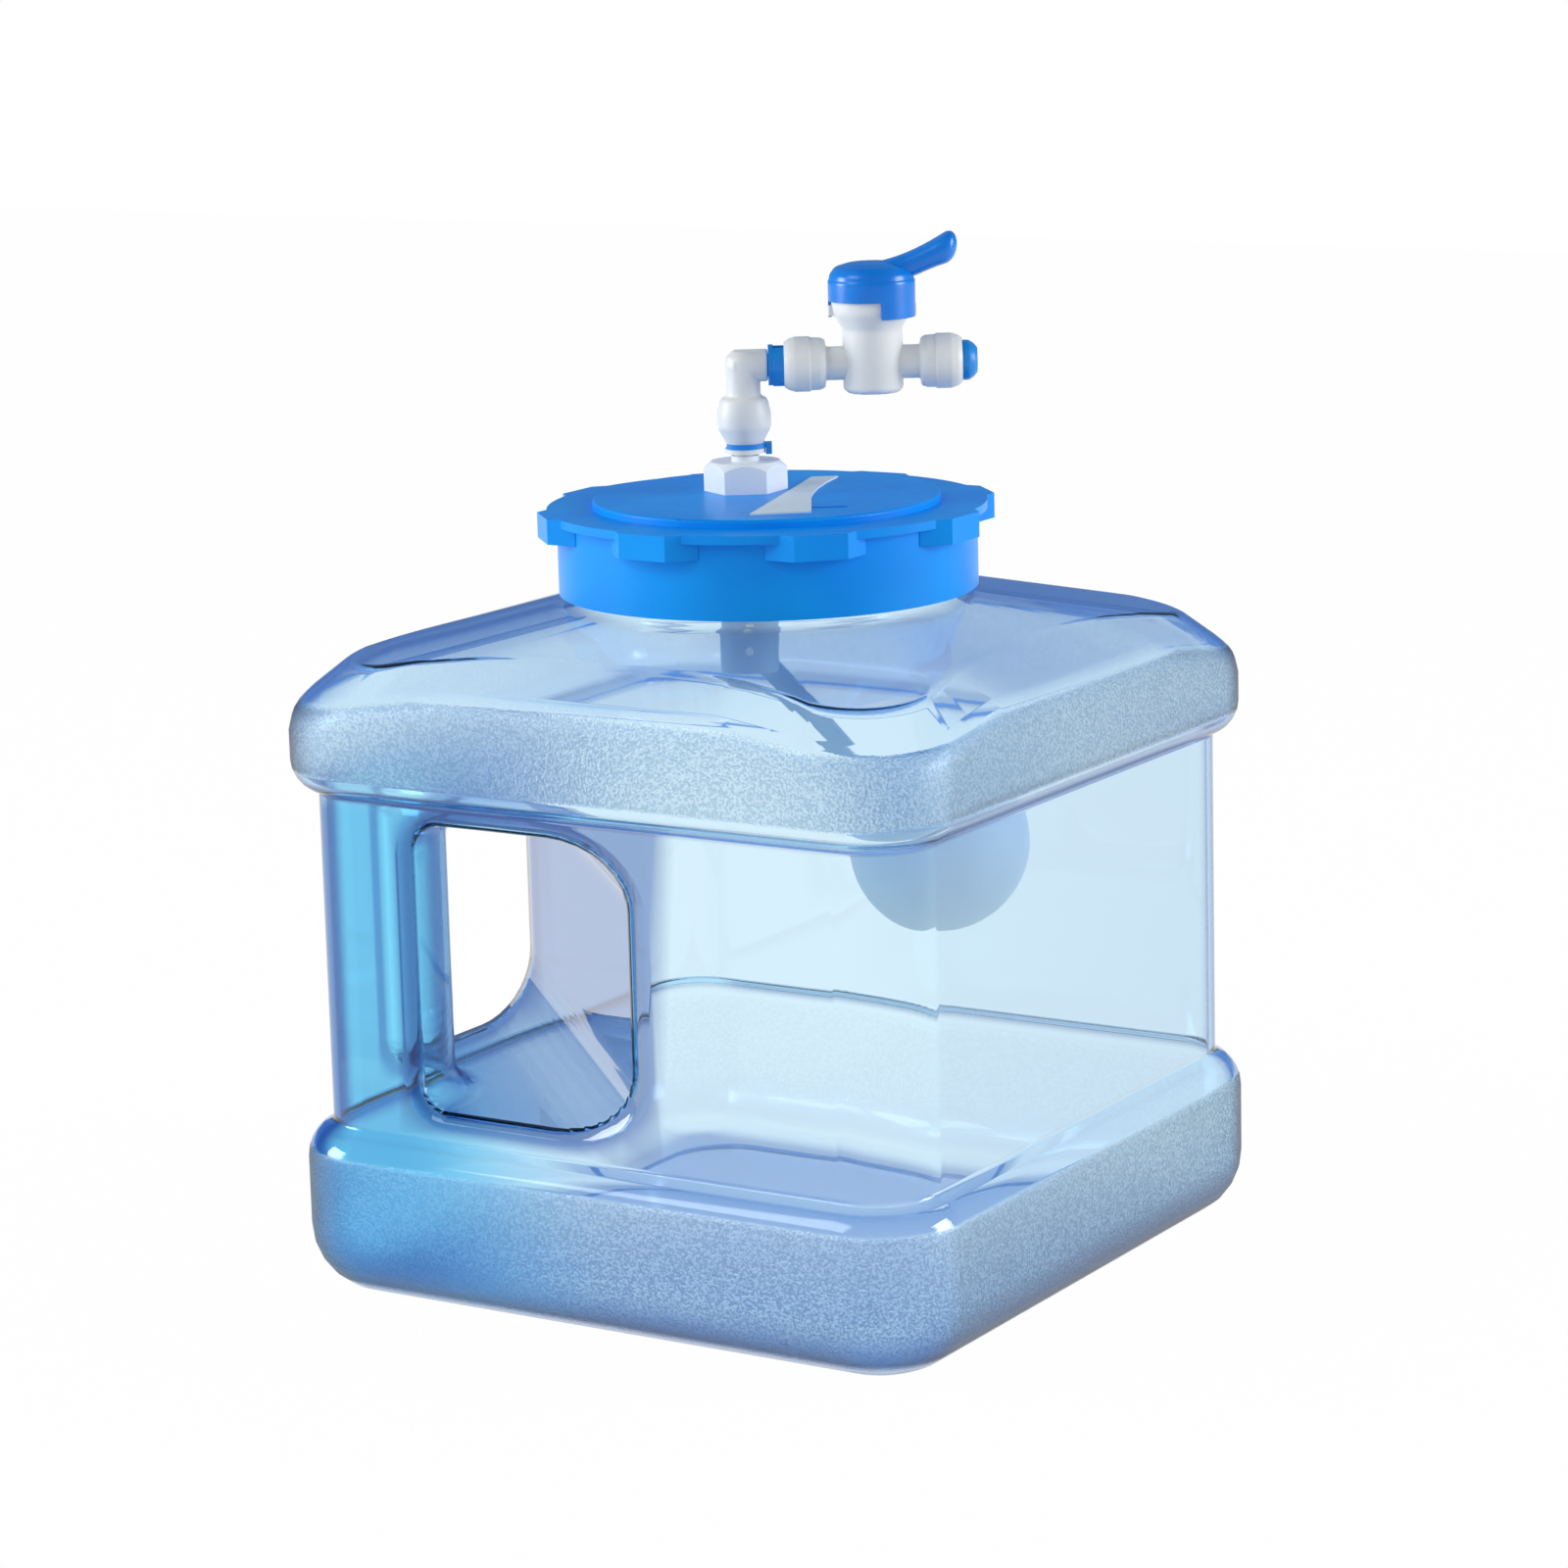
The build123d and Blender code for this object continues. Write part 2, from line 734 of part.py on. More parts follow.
# Elbow: push-fit barrel over the valve's tube, bent pipe, and the spigot into the tap
elbow_height = pipe_axis_height - bend_radius
with BuildPart() as elbow_body:
    add(
        turned(
            upright,
            valve_axis,
            [
                (0, barrel_bottom),
                (barrel_mouth_radius, barrel_bottom),
                (barrel_radius, barrel_bottom + barrel_length / 3),
                (barrel_top_radius + barrel_edge, barrel_top - barrel_edge),
                (barrel_top_radius, barrel_top),
                (pipe_radius, barrel_top + barrel_edge),
                (0, barrel_top + barrel_edge),
            ],
        )
    )
    with BuildLine(upright):
        riser = Line((0, barrel_top), (0, elbow_height))
        corner = JernArc(riser @ 1, riser % 1, bend_radius, -90)
        Line(corner @ 1, (elbow_arm_length, pipe_axis_height))
    with BuildSketch(valve_plane.offset(barrel_top)):
        Circle(pipe_radius)
    sweep()
    with BuildSketch(Plane(origin=upright.from_local_coords((bend_radius, pipe_axis_height)), z_dir=along)):
        Circle(tube_radius)
    extrude(amount=elbow_end - bend_radius)
    with BuildLine(upright):
        riser = Line((0, barrel_bottom), (0, elbow_height))
        corner = JernArc(riser @ 1, riser % 1, bend_radius, -90)
        Line(corner @ 1, (elbow_end, pipe_axis_height))
    with BuildSketch(valve_plane.offset(barrel_bottom)):
        Circle(pipe_bore_radius)
    sweep(mode=Mode.SUBTRACT)
    add(
        turned(
            upright,
            valve_axis,
            [
                (0, barrel_bottom),
                (collet_radius + collet_gap, barrel_bottom),
                (collet_radius + collet_gap, collet_top),
                (gland_radius, collet_top),
                (gland_radius, collet_top + gland_length),
                (socket_radius, collet_top + gland_length),
                (socket_radius, barrel_bottom + socket_depth),
                (0, barrel_bottom + socket_depth),
            ],
        ),
        mode=Mode.SUBTRACT,
    )
elbow_body.part.label = "elbow_body"
export_step(elbow_body.part, "parts/elbow_body.step")

# Collet in the mouth of the elbow: a sleeve that grips the tube, with a flange to press
with BuildPart() as elbow_collet:
    add(
        turned(
            upright,
            valve_axis,
            [
                (socket_radius, elbow_collet_bottom),
                (collet_flange_radius, elbow_collet_bottom),
                (collet_flange_radius, clip_bottom),
                (collet_radius, clip_bottom),
                (collet_radius, collet_top),
                (socket_radius, collet_top),
            ],
        )
    )
elbow_collet.part.label = "elbow_collet"
export_step(elbow_collet.part, "parts/elbow_collet.step")

# Locking clip between the collet's flange and the elbow's mouth, with its thumb tab
with BuildPart() as elbow_clip:
    with BuildSketch(valve_plane.offset(clip_bottom)):
        Circle(clip_radius)
        Circle(collet_radius, mode=Mode.SUBTRACT)
        with Locations((-clip_radius, 0)):
            Rectangle(2 * clip_radius, clip_opening, mode=Mode.SUBTRACT)
    extrude(amount=clip_thickness)
    with BuildSketch(valve_plane.offset(barrel_bottom - clip_tab_height)):
        with Locations(((clip_tab_reach + collet_flange_radius + collet_gap) / 2, 0)):
            Rectangle(clip_tab_reach - collet_flange_radius - collet_gap, clip_tab_width)
    extrude(amount=clip_tab_height)
elbow_clip.part.label = "elbow_clip"
export_step(elbow_clip.part, "parts/elbow_clip.step")

# Rubber ring round the tube inside the elbow
with BuildPart() as elbow_seal:
    with BuildSketch(upright):
        with Locations((socket_radius + seal_ring_radius, collet_top + seal_ring_radius)):
            Circle(seal_ring_radius)
    revolve(axis=valve_axis)
elbow_seal.part.label = "elbow_seal"
export_step(elbow_seal.part, "parts/elbow_seal.step")

# Tap body: two push-fit barrels in line and an upright chamber with its collar
barrel_side = [
    (tap_neck_end, tap_neck_radius),
    (tap_barrel_end, tap_barrel_foot_radius),
    (tap_barrel_step, tap_step_radius),
    (tap_barrel_step, tap_barrel_radius),
    (tap_barrel_shoulder, tap_barrel_radius),
    (tap_half_length, tap_mouth_radius),
]
socket_side = [
    (valve_ball_radius, pipe_bore_radius),
    (socket_end, pipe_bore_radius),
    (socket_end, socket_radius),
    (tap_half_length - collet_length - gland_length, socket_radius),
    (tap_half_length - collet_length - gland_length, gland_radius),
    (tap_half_length - collet_length, gland_radius),
    (tap_half_length - collet_length, collet_radius + collet_gap),
    (tap_half_length, collet_radius + collet_gap),
]
with BuildPart() as tap_body:
    for end in (-1, 1):
        outside = [(0, 0), (0, tap_neck_radius)]
        outside += [(end * reach, radius) for reach, radius in barrel_side]
        add(turned(tap_upright, tap_pipe_axis, outside + [(end * tap_half_length, 0)]))
    add(
        turned(
            tap_upright,
            tap_stem_axis,
            [
                (0, -tap_body_bottom),
                (tap_body_radius - tap_body_edge, -tap_body_bottom),
                (tap_body_radius, tap_body_edge - tap_body_bottom),
                (tap_body_radius, collar_foot),
                (collar_radius, collar_spread),
                (collar_radius, collar_top),
                (0, collar_top),
            ],
        )
    )
    for heading in (lug_heading, lug_heading + 180):
        with BuildSketch(tap_plane.offset(lug_bottom)):
            with BuildLine():
                sweep_start = heading - lug_angle / 2
                outer = CenterArc((0, 0), lug_radius, sweep_start, lug_angle)
                inner = CenterArc((0, 0), collar_radius - touch, sweep_start, lug_angle)
                Line(outer @ 0, inner @ 0)
                Line(outer @ 1, inner @ 1)
            make_face()
        extrude(amount=lug_top - lug_bottom)
    with BuildSketch(tap_plane.offset(-chamber_wall_radius)):
        Circle(chamber_wall_radius)
    extrude(amount=chamber_wall_radius + collar_top, mode=Mode.SUBTRACT)
    for end in (-1, 1):
        inside = [(0, 0), (0, pipe_bore_radius)]
        inside += [(end * reach, radius) for reach, radius in socket_side]
        inside += [(end * tap_half_length, 0)]
        add(turned(tap_upright, tap_pipe_axis, inside), mode=Mode.SUBTRACT)
        with BuildSketch(Plane(origin=tap_centre, z_dir=along * end)):
            Circle(seat_ring_radius)
        extrude(amount=seat_ring_back, mode=Mode.SUBTRACT)
tap_body.part.label = "tap_body"
export_step(tap_body.part, "parts/tap_body.step")

# Collet and locking clip in the tap's inlet
with BuildPart() as tap_inlet_collet:
    add(
        turned(
            tap_upright,
            tap_pipe_axis,
            [
                (inlet_collet_start, socket_radius),
                (inlet_collet_start, collet_flange_radius),
                (inlet_clip_start, collet_flange_radius),
                (inlet_clip_start, collet_radius),
                (collet_length - tap_half_length, collet_radius),
                (collet_length - tap_half_length, socket_radius),
            ],
        )
    )
tap_inlet_collet.part.label = "tap_inlet_collet"
export_step(tap_inlet_collet.part, "parts/tap_inlet_collet.step")

inlet_clip_plane = Plane(origin=tap_upright.from_local_coords((inlet_clip_start, 0)), x_dir=(0, 0, -1), z_dir=along)
with BuildPart() as tap_inlet_clip:
    with BuildSketch(inlet_clip_plane):
        Circle(clip_radius)
        Circle(collet_radius, mode=Mode.SUBTRACT)
        with Locations((-clip_radius, 0)):
            Rectangle(2 * clip_radius, clip_opening, mode=Mode.SUBTRACT)
    extrude(amount=-tap_half_length - inlet_clip_start)
tap_inlet_clip.part.label = "tap_inlet_clip"
export_step(tap_inlet_clip.part, "parts/tap_inlet_clip.step")

# Collet in the tap's outlet, free to be pressed in: it lets go of the tube
with BuildPart() as tap_outlet_collet:
    add(
        turned(
            tap_upright,
            tap_pipe_axis,
            [
                (tap_half_length - collet_length + outlet_press, socket_radius),
                (tap_half_length - collet_length + outlet_press, collet_radius),
                (outlet_flange_start, collet_radius),
                (outlet_flange_start, outlet_collet_radius),
                ((outlet_flange_start + outlet_collet_end) / 2, outlet_collet_radius - outlet_dome_drop),
                (outlet_collet_end, outlet_collet_tip_radius),
                (outlet_collet_end, socket_radius),
            ],
        )
    )
tap_outlet_collet.part.label = "tap_outlet_collet"
export_step(tap_outlet_collet.part, "parts/tap_outlet_collet.step")

# Rubber rings in the tap's two sockets
ring_place = tap_half_length - collet_length - seal_ring_radius
with BuildPart() as tap_inlet_seal:
    with BuildSketch(tap_upright):
        with Locations((-ring_place, socket_radius + seal_ring_radius)):
            Circle(seal_ring_radius)
    revolve(axis=tap_pipe_axis)
tap_inlet_seal.part.label = "tap_inlet_seal"
export_step(tap_inlet_seal.part, "parts/tap_inlet_seal.step")

with BuildPart() as tap_outlet_seal:
    with BuildSketch(tap_upright):
        with Locations((ring_place, socket_radius + seal_ring_radius)):
            Circle(seal_ring_radius)
    revolve(axis=tap_pipe_axis)
tap_outlet_seal.part.label = "tap_outlet_seal"
export_step(tap_outlet_seal.part, "parts/tap_outlet_seal.step")

# Ball of the tap with its bore, and the stem, sealing disc and square that the lever turns
disc_middle = stem_disc_bottom + stem_disc_height / 2
stem_disc_top = stem_disc_bottom + stem_disc_height
groove_radius = stem_disc_radius - 2 * seal_ring_radius
with BuildPart() as tap_ball:
    with Locations(tap_centre):
        Sphere(valve_ball_radius)
    add(
        turned(
            tap_upright,
            tap_stem_axis,
            [
                (0, 0),
                (stem_radius, 0),
                (stem_radius, stem_disc_bottom),
                (stem_disc_radius, stem_disc_bottom),
                (stem_disc_radius, disc_middle - seal_ring_radius),
                (groove_radius, disc_middle - seal_ring_radius),
                (groove_radius, disc_middle + seal_ring_radius),
                (stem_disc_radius, disc_middle + seal_ring_radius),
                (stem_disc_radius, stem_disc_top),
                (0, stem_disc_top),
            ],
        )
    )
    with BuildSketch(tap_plane.offset(stem_disc_top)):
        Rectangle(stem_square, stem_square)
    extrude(amount=stem_square_top - stem_disc_top)
    with BuildSketch(Plane(origin=tap_centre, z_dir=along)):
        Circle(pipe_bore_radius)
    extrude(amount=valve_ball_radius, both=True, mode=Mode.SUBTRACT)
tap_ball.part.label = "tap_ball"
export_step(tap_ball.part, "parts/tap_ball.step")

with BuildPart() as tap_stem_seal:
    with BuildSketch(tap_upright):
        with Locations((groove_radius + seal_ring_radius, disc_middle)):
            Circle(seal_ring_radius)
    revolve(axis=tap_stem_axis)
tap_stem_seal.part.label = "tap_stem_seal"
export_step(tap_stem_seal.part, "parts/tap_stem_seal.step")

# Seats: a ring each side of the ball, hollowed to its curve
with BuildPart() as tap_seat_inlet:
    with BuildSketch(Plane(origin=tap_centre, z_dir=-along).offset(seat_ring_front)):
        Circle(seat_ring_radius)
        Circle(pipe_bore_radius, mode=Mode.SUBTRACT)
    extrude(amount=seat_ring_back - seat_ring_front)
    with Locations(tap_centre):
        Sphere(valve_ball_radius + valve_ball_gap, mode=Mode.SUBTRACT)
tap_seat_inlet.part.label = "tap_seat_inlet"
export_step(tap_seat_inlet.part, "parts/tap_seat_inlet.step")

with BuildPart() as tap_seat_outlet:
    with BuildSketch(Plane(origin=tap_centre, z_dir=along).offset(seat_ring_front)):
        Circle(seat_ring_radius)
        Circle(pipe_bore_radius, mode=Mode.SUBTRACT)
    extrude(amount=seat_ring_back - seat_ring_front)
    with Locations(tap_centre):
        Sphere(valve_ball_radius + valve_ball_gap, mode=Mode.SUBTRACT)
tap_seat_outlet.part.label = "tap_seat_outlet"
export_step(tap_seat_outlet.part, "parts/tap_seat_outlet.step")

# Lever: skirt with two stops, domed cap, boss on the stem and a paddle that rises to its tip
lever_bore = collar_radius + lever_clearance
stop_angle = 180 - lever_turn - lug_angle - 2 * lever_stop_play
with BuildPart() as tap_lever:
    add(
        turned(
            tap_upright,
            tap_stem_axis,
            [
                (0, collar_top + lever_clearance),
                (lever_skirt_radius, collar_top + lever_clearance),
                (lever_skirt_radius, lever_skirt_top),
                (lever_skirt_radius - 1, lever_skirt_top + 0.4 * lever_dome_height),
                (lever_skirt_radius - 4, lever_skirt_top + 0.7 * lever_dome_height),
                (lever_skirt_radius - 8, lever_skirt_top + 0.8 * lever_dome_height),
                (0, lever_skirt_top + 0.82 * lever_dome_height),
            ],
        )
    )
    with BuildSketch(tap_plane.offset(lever_skirt_bottom)):
        Circle(lever_skirt_radius)
        Circle(lever_bore, mode=Mode.SUBTRACT)
    extrude(amount=collar_top + lever_clearance - lever_skirt_bottom)
    for first_lug in (lug_heading, lug_heading + 180):
        with BuildSketch(tap_plane.offset(lever_stop_bottom)):
            with BuildLine():
                stop_start = first_lug - lug_angle / 2 - lever_stop_play - stop_angle
                outer = CenterArc((0, 0), lever_skirt_radius, stop_start, stop_angle)
                inner = CenterArc((0, 0), lever_bore, stop_start, stop_angle)
                Line(outer @ 0, inner @ 0)
                Line(outer @ 1, inner @ 1)
            make_face()
        extrude(amount=lever_skirt_bottom - lever_stop_bottom)
    add(lever_paddle())
    with BuildSketch(tap_plane.offset(stem_disc_top)):
        Circle(stem_disc_radius)
    extrude(amount=lever_skirt_top - stem_disc_top)
    with BuildSketch(tap_plane.offset(collar_top + lever_clearance)):
        Circle(lever_bore)
        Circle(lever_hollow_radius, mode=Mode.SUBTRACT)
    extrude(amount=lever_hollow_top - collar_top - lever_clearance, mode=Mode.SUBTRACT)
    with BuildSketch(tap_plane.offset(stem_disc_top)):
        Rectangle(stem_square, stem_square)
    extrude(amount=stem_square_top - stem_disc_top, mode=Mode.SUBTRACT)
tap_lever.part.label = "tap_lever"
export_step(tap_lever.part, "parts/tap_lever.step")
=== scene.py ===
import math

import bmesh
import bpy
import numpy as np
from mathutils import Matrix, Vector


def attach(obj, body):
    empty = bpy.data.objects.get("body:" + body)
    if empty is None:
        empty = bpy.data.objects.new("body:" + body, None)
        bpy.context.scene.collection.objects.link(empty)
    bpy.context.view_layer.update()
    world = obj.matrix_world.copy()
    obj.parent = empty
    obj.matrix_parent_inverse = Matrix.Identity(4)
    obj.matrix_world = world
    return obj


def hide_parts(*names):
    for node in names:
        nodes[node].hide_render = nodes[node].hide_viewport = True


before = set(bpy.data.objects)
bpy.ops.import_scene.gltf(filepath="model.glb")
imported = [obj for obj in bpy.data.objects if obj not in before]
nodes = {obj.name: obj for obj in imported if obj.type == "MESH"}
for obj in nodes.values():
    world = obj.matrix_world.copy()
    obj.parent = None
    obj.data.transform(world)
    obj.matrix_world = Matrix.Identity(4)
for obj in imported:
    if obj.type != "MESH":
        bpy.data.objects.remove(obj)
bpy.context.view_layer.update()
MM = 0.001

# The camera stands a metre and a half off, a little above the cap, and looks at the corner
# between the two clear walls, so that the carrying column is on the left.
camera_heading = math.radians(32.01)
camera_height = math.radians(11.72)
camera_roll = math.radians(-1.51)
camera_lens = 109.99
camera_distance = 1468.6 * MM
camera_slide = (-2.26 * MM, -26.59 * MM)
looked_at = Vector((0, 0, 120 * MM))

back = Vector(
    (
        math.sin(camera_heading) * math.cos(camera_height),
        -math.cos(camera_heading) * math.cos(camera_height),
        math.sin(camera_height),
    )
)
level = Vector((math.cos(camera_heading), math.sin(camera_heading), 0))
rise = back.cross(level)
right = level * math.cos(camera_roll) + rise * math.sin(camera_roll)
up = rise * math.cos(camera_roll) - level * math.sin(camera_roll)
eye = looked_at + back * camera_distance - right * camera_slide[0] - up * camera_slide[1]

camera = bpy.data.objects.new("camera", bpy.data.cameras.new("camera"))
camera.data.lens = camera_lens
camera.data.clip_start = 0.05
camera.matrix_world = Matrix.Translation(eye) @ Matrix((right, up, back)).transposed().to_4x4()
bpy.context.scene.collection.objects.link(camera)
bpy.context.scene.camera = camera
bpy.context.scene.view_settings.view_transform = "Standard"


# Container shell: blown from clear blue polycarbonate in one piece, 2 mm thick. Two bands are
# stippled by the mould, and the walls between them and the shoulder panels are polished clear.
# A hollow column at one corner is the handle: the mould pinches a gap in behind it.
class Flow:
    """A value that runs through a material; sums on it are written as plain expressions."""

    def __init__(self, finish, socket):
        self.finish = finish
        self.socket = socket

    def beside(self, output):
        """Another output of the same node."""
        return Flow(self.finish, self.socket.node.outputs[output])

    def sum(self, operation, *terms):
        return self.finish.node("ShaderNodeMath", {"operation": operation}, dict(enumerate(terms)))

    def __add__(self, other):
        return self.sum("ADD", self, other)

    def __radd__(self, other):
        return self.sum("ADD", other, self)

    def __sub__(self, other):
        return self.sum("SUBTRACT", self, other)

    def __rsub__(self, other):
        return self.sum("SUBTRACT", other, self)

    def __mul__(self, other):
        return self.sum("MULTIPLY", self, other)

    def __rmul__(self, other):
        return self.sum("MULTIPLY", other, self)

    def size(self):
        return self.sum("ABSOLUTE", self)

    def most(self, other):
        return self.sum("MAXIMUM", self, other)

    def least(self, other):
        return self.sum("MINIMUM", self, other)

    def rises(self, low, high):
        """0 below low, 1 above high, and a soft step between them."""
        settings = {"interpolation_type": "SMOOTHSTEP"}
        values = {"Value": self, "From Min": low, "From Max": high}
        return self.finish.node("ShaderNodeMapRange", settings, values)

    def falls(self, low, high):
        return 1 - self.rises(low, high)


class Finish:
    """One material, made of a plastic or metal shader and of what changes over its surface."""

    def __init__(self, name, **shader):
        self.material = bpy.data.materials.new(name)
        self.material.use_nodes = True
        self.tree = self.material.node_tree
        self.shader = self.tree.nodes["Principled BSDF"]
        self.ending = self.tree.nodes["Material Output"]
        self.shade(**shader)

    def give(self, node, values):
        for name, value in values.items():
            socket = node.inputs[name]
            if isinstance(value, Flow):
                self.tree.links.new(value.socket, socket)
            elif isinstance(value, tuple) and socket.type == "RGBA" and len(value) == 3:
                socket.default_value = (*value, 1)
            else:
                socket.default_value = value

    def node(self, kind, settings={}, values={}, output=0):
        made = self.tree.nodes.new(kind)
        for name, value in settings.items():
            setattr(made, name, value)
        self.give(made, values)
        return Flow(self, made.outputs[output])

    def shade(self, **sockets):
        self.give(self.shader, {name.replace("_", " "): value for name, value in sockets.items()})

    def spot(self):
        """Where a point of the surface is, on the object's own axes."""
        return self.node("ShaderNodeTexCoord", output="Object")

    def axes(self):
        """The three lengths of that place, in metres."""
        parts = self.node("ShaderNodeSeparateXYZ", {}, {"Vector": self.spot()})
        return [parts.beside(axis) for axis in "XYZ"]

    def noise(self, grain, detail=2.0):
        """Cloudy noise whose lumps are about one grain across, in metres."""
        values = {"Scale": 1 / grain, "Detail": detail, "Vector": self.spot()}
        return self.node("ShaderNodeTexNoise", {}, values)

    def blend(self, share, first, second):
        """The first colour where share is 0, the second where it is 1."""
        values = {0: share, 6: first, 7: second}
        return self.node("ShaderNodeMix", {"data_type": "RGBA"}, values, output=2)

    def mottle(self, grain, detail, first, second):
        """Two near colours in clouds whose lumps are about one grain across."""
        return self.blend(self.noise(grain, detail), first, second)

    def bump(self, height, depth, strength):
        values = {"Height": height, "Distance": depth, "Strength": strength}
        return self.node("ShaderNodeBump", {}, values)

    def onto(self, *objects):
        for thing in objects:
            thing.data.materials.clear()
            thing.data.materials.append(self.material)


def piece(name, points, faces, smooth=True):
    """A mesh object at the origin from an array of points and rows of corner numbers."""
    mesh = bpy.data.meshes.new(name)
    mesh.from_pydata(points.reshape(-1, 3).tolist(), [], [tuple(face) for face in faces])
    mesh.validate()
    mesh.polygons.foreach_set("use_smooth", np.full(len(mesh.polygons), smooth))
    made = bpy.data.objects.new(name, mesh)
    bpy.context.scene.collection.objects.link(made)
    return made


half_side = 112.5
wall_inset = 7.5
wall_corner = 22.0
wall_ends = (54.4, 154.2)
shell_wall = 2.0
band_corner = 28.0

recess_depth = 3.0
recess_half, recess_corner = 82.0, 22.0
recess_slope = 3.0
recess_middle, recess_middle_corner = 40.0, 10.0
foot_radius = 21.0
low_top, low_radius = 54.0, 12.0
high_bottom, high_radius = 155.0, 10.0

# The shoulder: its height and corner at the band's edge and at the crease, and how it comes down
# towards the corners, as outline() takes it.
band_flat_top = 174.0
shoulder_edge, shoulder_corner, shoulder_drop = 189.0, 33.0, (162.0, 0.17, 1.0)
crease_height, crease_half, crease_corner = 198.0, 98.5, 24.0
crease_arch, crease_drop = 13.0, (120.0, 0.00113, 2.0)
neck_radius, neck_share = 60.0, 16.0
neck_top = 230.5
neck_levels = (207.0, 212.0, neck_top)

# How far the softening of an edge reaches to either side of it.
recess_softening = 3.0
edge_softening, crease_softening, root_softening = 7.0, 2.6, 6.0

# Where points stand along half a side, as shares of it, and how many there are in a corner.
half_stops = np.array([0.115, 0.29, 0.38, 0.47, 0.56, 0.66, 0.85, 0.92])
side_stops = np.concatenate(([-1.0], -half_stops[::-1], [0.0], half_stops))
arc_steps = 14


def outline(height, reach, radius, arch=0.0, corner_share=None, drop=None):
    """
    A ring of points: each quarter is half a side, a round corner and half a side. The side is
    bowed in by arch at its middle, as a parabola. With a corner share in degrees the ring is a
    circle of that radius, divided in the same way, so that rings join point to point. A drop of
    (start, slope, power) lowers a point by slope times the power of |x| + |y| past start.
    """
    if corner_share is not None:
        side_end = 45 - corner_share
        corner_end = 45 + corner_share
        corner_part = np.linspace(side_end, corner_end, arc_steps, endpoint=False)
        quarter = np.radians(np.concatenate((side_stops * side_end, corner_part)))
        plan = radius * np.stack((np.cos(quarter), np.sin(quarter)), -1)
    else:
        straight = reach - radius
        side_points = np.stack((reach - arch * (1 - side_stops**2), side_stops * straight), -1)
        turn = np.linspace(0, math.pi / 2, arc_steps, endpoint=False)
        corner = straight + radius * np.stack((np.cos(turn), np.sin(turn)), -1)
        plan = np.concatenate((side_points, corner))
    quarter_turn = np.array([[0, 1], [-1, 0]])
    ring = np.concatenate([plan @ np.linalg.matrix_power(quarter_turn, k) for k in range(4)])
    heights = np.full(len(ring), float(height))
    if drop:
        start, slope, power = drop
        heights -= slope * np.maximum(np.abs(ring).sum(axis=1) - start, 0) ** power
    return np.column_stack((ring, heights))


def rounded_edge(centre_height, radius, way, turns):
    """
    Rings round a band's edge: at a turn t from the band's flat side, a ring is radius times sin t
    above the centre, or below it where way is -1, and radius times (1 - cos t) further in.
    """
    heights = centre_height + way * radius * np.sin(turns)
    insets = radius * (1 - np.cos(turns))
    return [
        outline(height, half_side - inset, band_corner - inset)
        for height, inset in zip(heights, insets)
    ]


def softened(rings, reaches, steps=5):
    """Rings with each joint between them rounded: a parabola that starts and ends reach away."""
    stack = [rings[0]]
    for before, ring, after, reach in zip(rings, rings[1:], rings[2:], reaches[1:]):
        to_last = before - ring
        to_next = after - ring
        length_last = np.linalg.norm(to_last, axis=1, keepdims=True)
        length_next = np.linalg.norm(to_next, axis=1, keepdims=True)
        start = ring + to_last * np.minimum(reach / length_last, 0.48)
        end = ring + to_next * np.minimum(reach / length_next, 0.48)
        share = np.linspace(0, 1, steps)[:, None, None]
        curve = (1 - share) ** 2 * start + 2 * share * (1 - share) * ring + share**2 * end
        stack.extend(curve if reach else [ring])
    return np.array(stack + [rings[-1]]) * MM


low_meet = math.acos(1 - wall_inset / low_radius)
high_meet = math.acos(1 - wall_inset / high_radius)
rings = [
    outline(recess_depth, recess_middle, recess_middle_corner),
    outline(recess_depth, recess_half - recess_slope, recess_corner - recess_slope),
    outline(0.0, recess_half, recess_corner),
    *rounded_edge(foot_radius, foot_radius, -1, np.linspace(math.pi / 2, 0, 7)),
    *rounded_edge(low_top - low_radius, low_radius, 1, np.linspace(0, low_meet, 6)),
    *(outline(z, half_side - wall_inset, wall_corner) for z in wall_ends),
    *rounded_edge(high_bottom + high_radius, high_radius, -1, np.linspace(high_meet, 0, 6)),
    outline(band_flat_top, half_side, band_corner),
    outline(shoulder_edge, half_side, shoulder_corner, drop=shoulder_drop),
    outline(crease_height, crease_half, crease_corner, crease_arch, drop=crease_drop),
    *(outline(z, 0.0, neck_radius, corner_share=neck_share) for z in neck_levels),
]
joint_reach = [0] * len(rings)
joint_reach[1:3] = [recess_softening, recess_softening]
joint_reach[-5:-2] = [edge_softening, crease_softening, root_softening]
shell_stack = softened(rings, joint_reach)


def closed_faces(stack):
    """The faces of a stack of closed rings, joined ring to ring, with a lid at each end."""
    count, around = stack.shape[:2]
    row, column = np.meshgrid(np.arange(count - 1), np.arange(around), indexing="ij")
    after = (column + 1) % around
    first = row * around
    corners = (first + column, first + after, first + around + after, first + around + column)
    faces = np.stack(corners, -1).reshape(-1, 4).tolist()
    faces.append(range(around)[::-1])
    faces.append(range((count - 1) * around, count * around))
    return faces


def settle(thing):
    """Makes what a piece's modifiers give its own mesh, and clears them."""
    evaluated = thing.evaluated_get(bpy.context.evaluated_depsgraph_get())
    finished = bpy.data.meshes.new_from_object(evaluated)
    thing.modifiers.clear()
    thing.data = finished


def cut(target, tool, operation="DIFFERENCE"):
    """Takes the tool's solid out of the target, or joins it on, for good, and removes the tool."""
    step = target.modifiers.new("cut", "BOOLEAN")
    step.operation = operation
    step.solver = "EXACT"
    step.object = tool
    settle(target)
    bpy.data.objects.remove(tool)


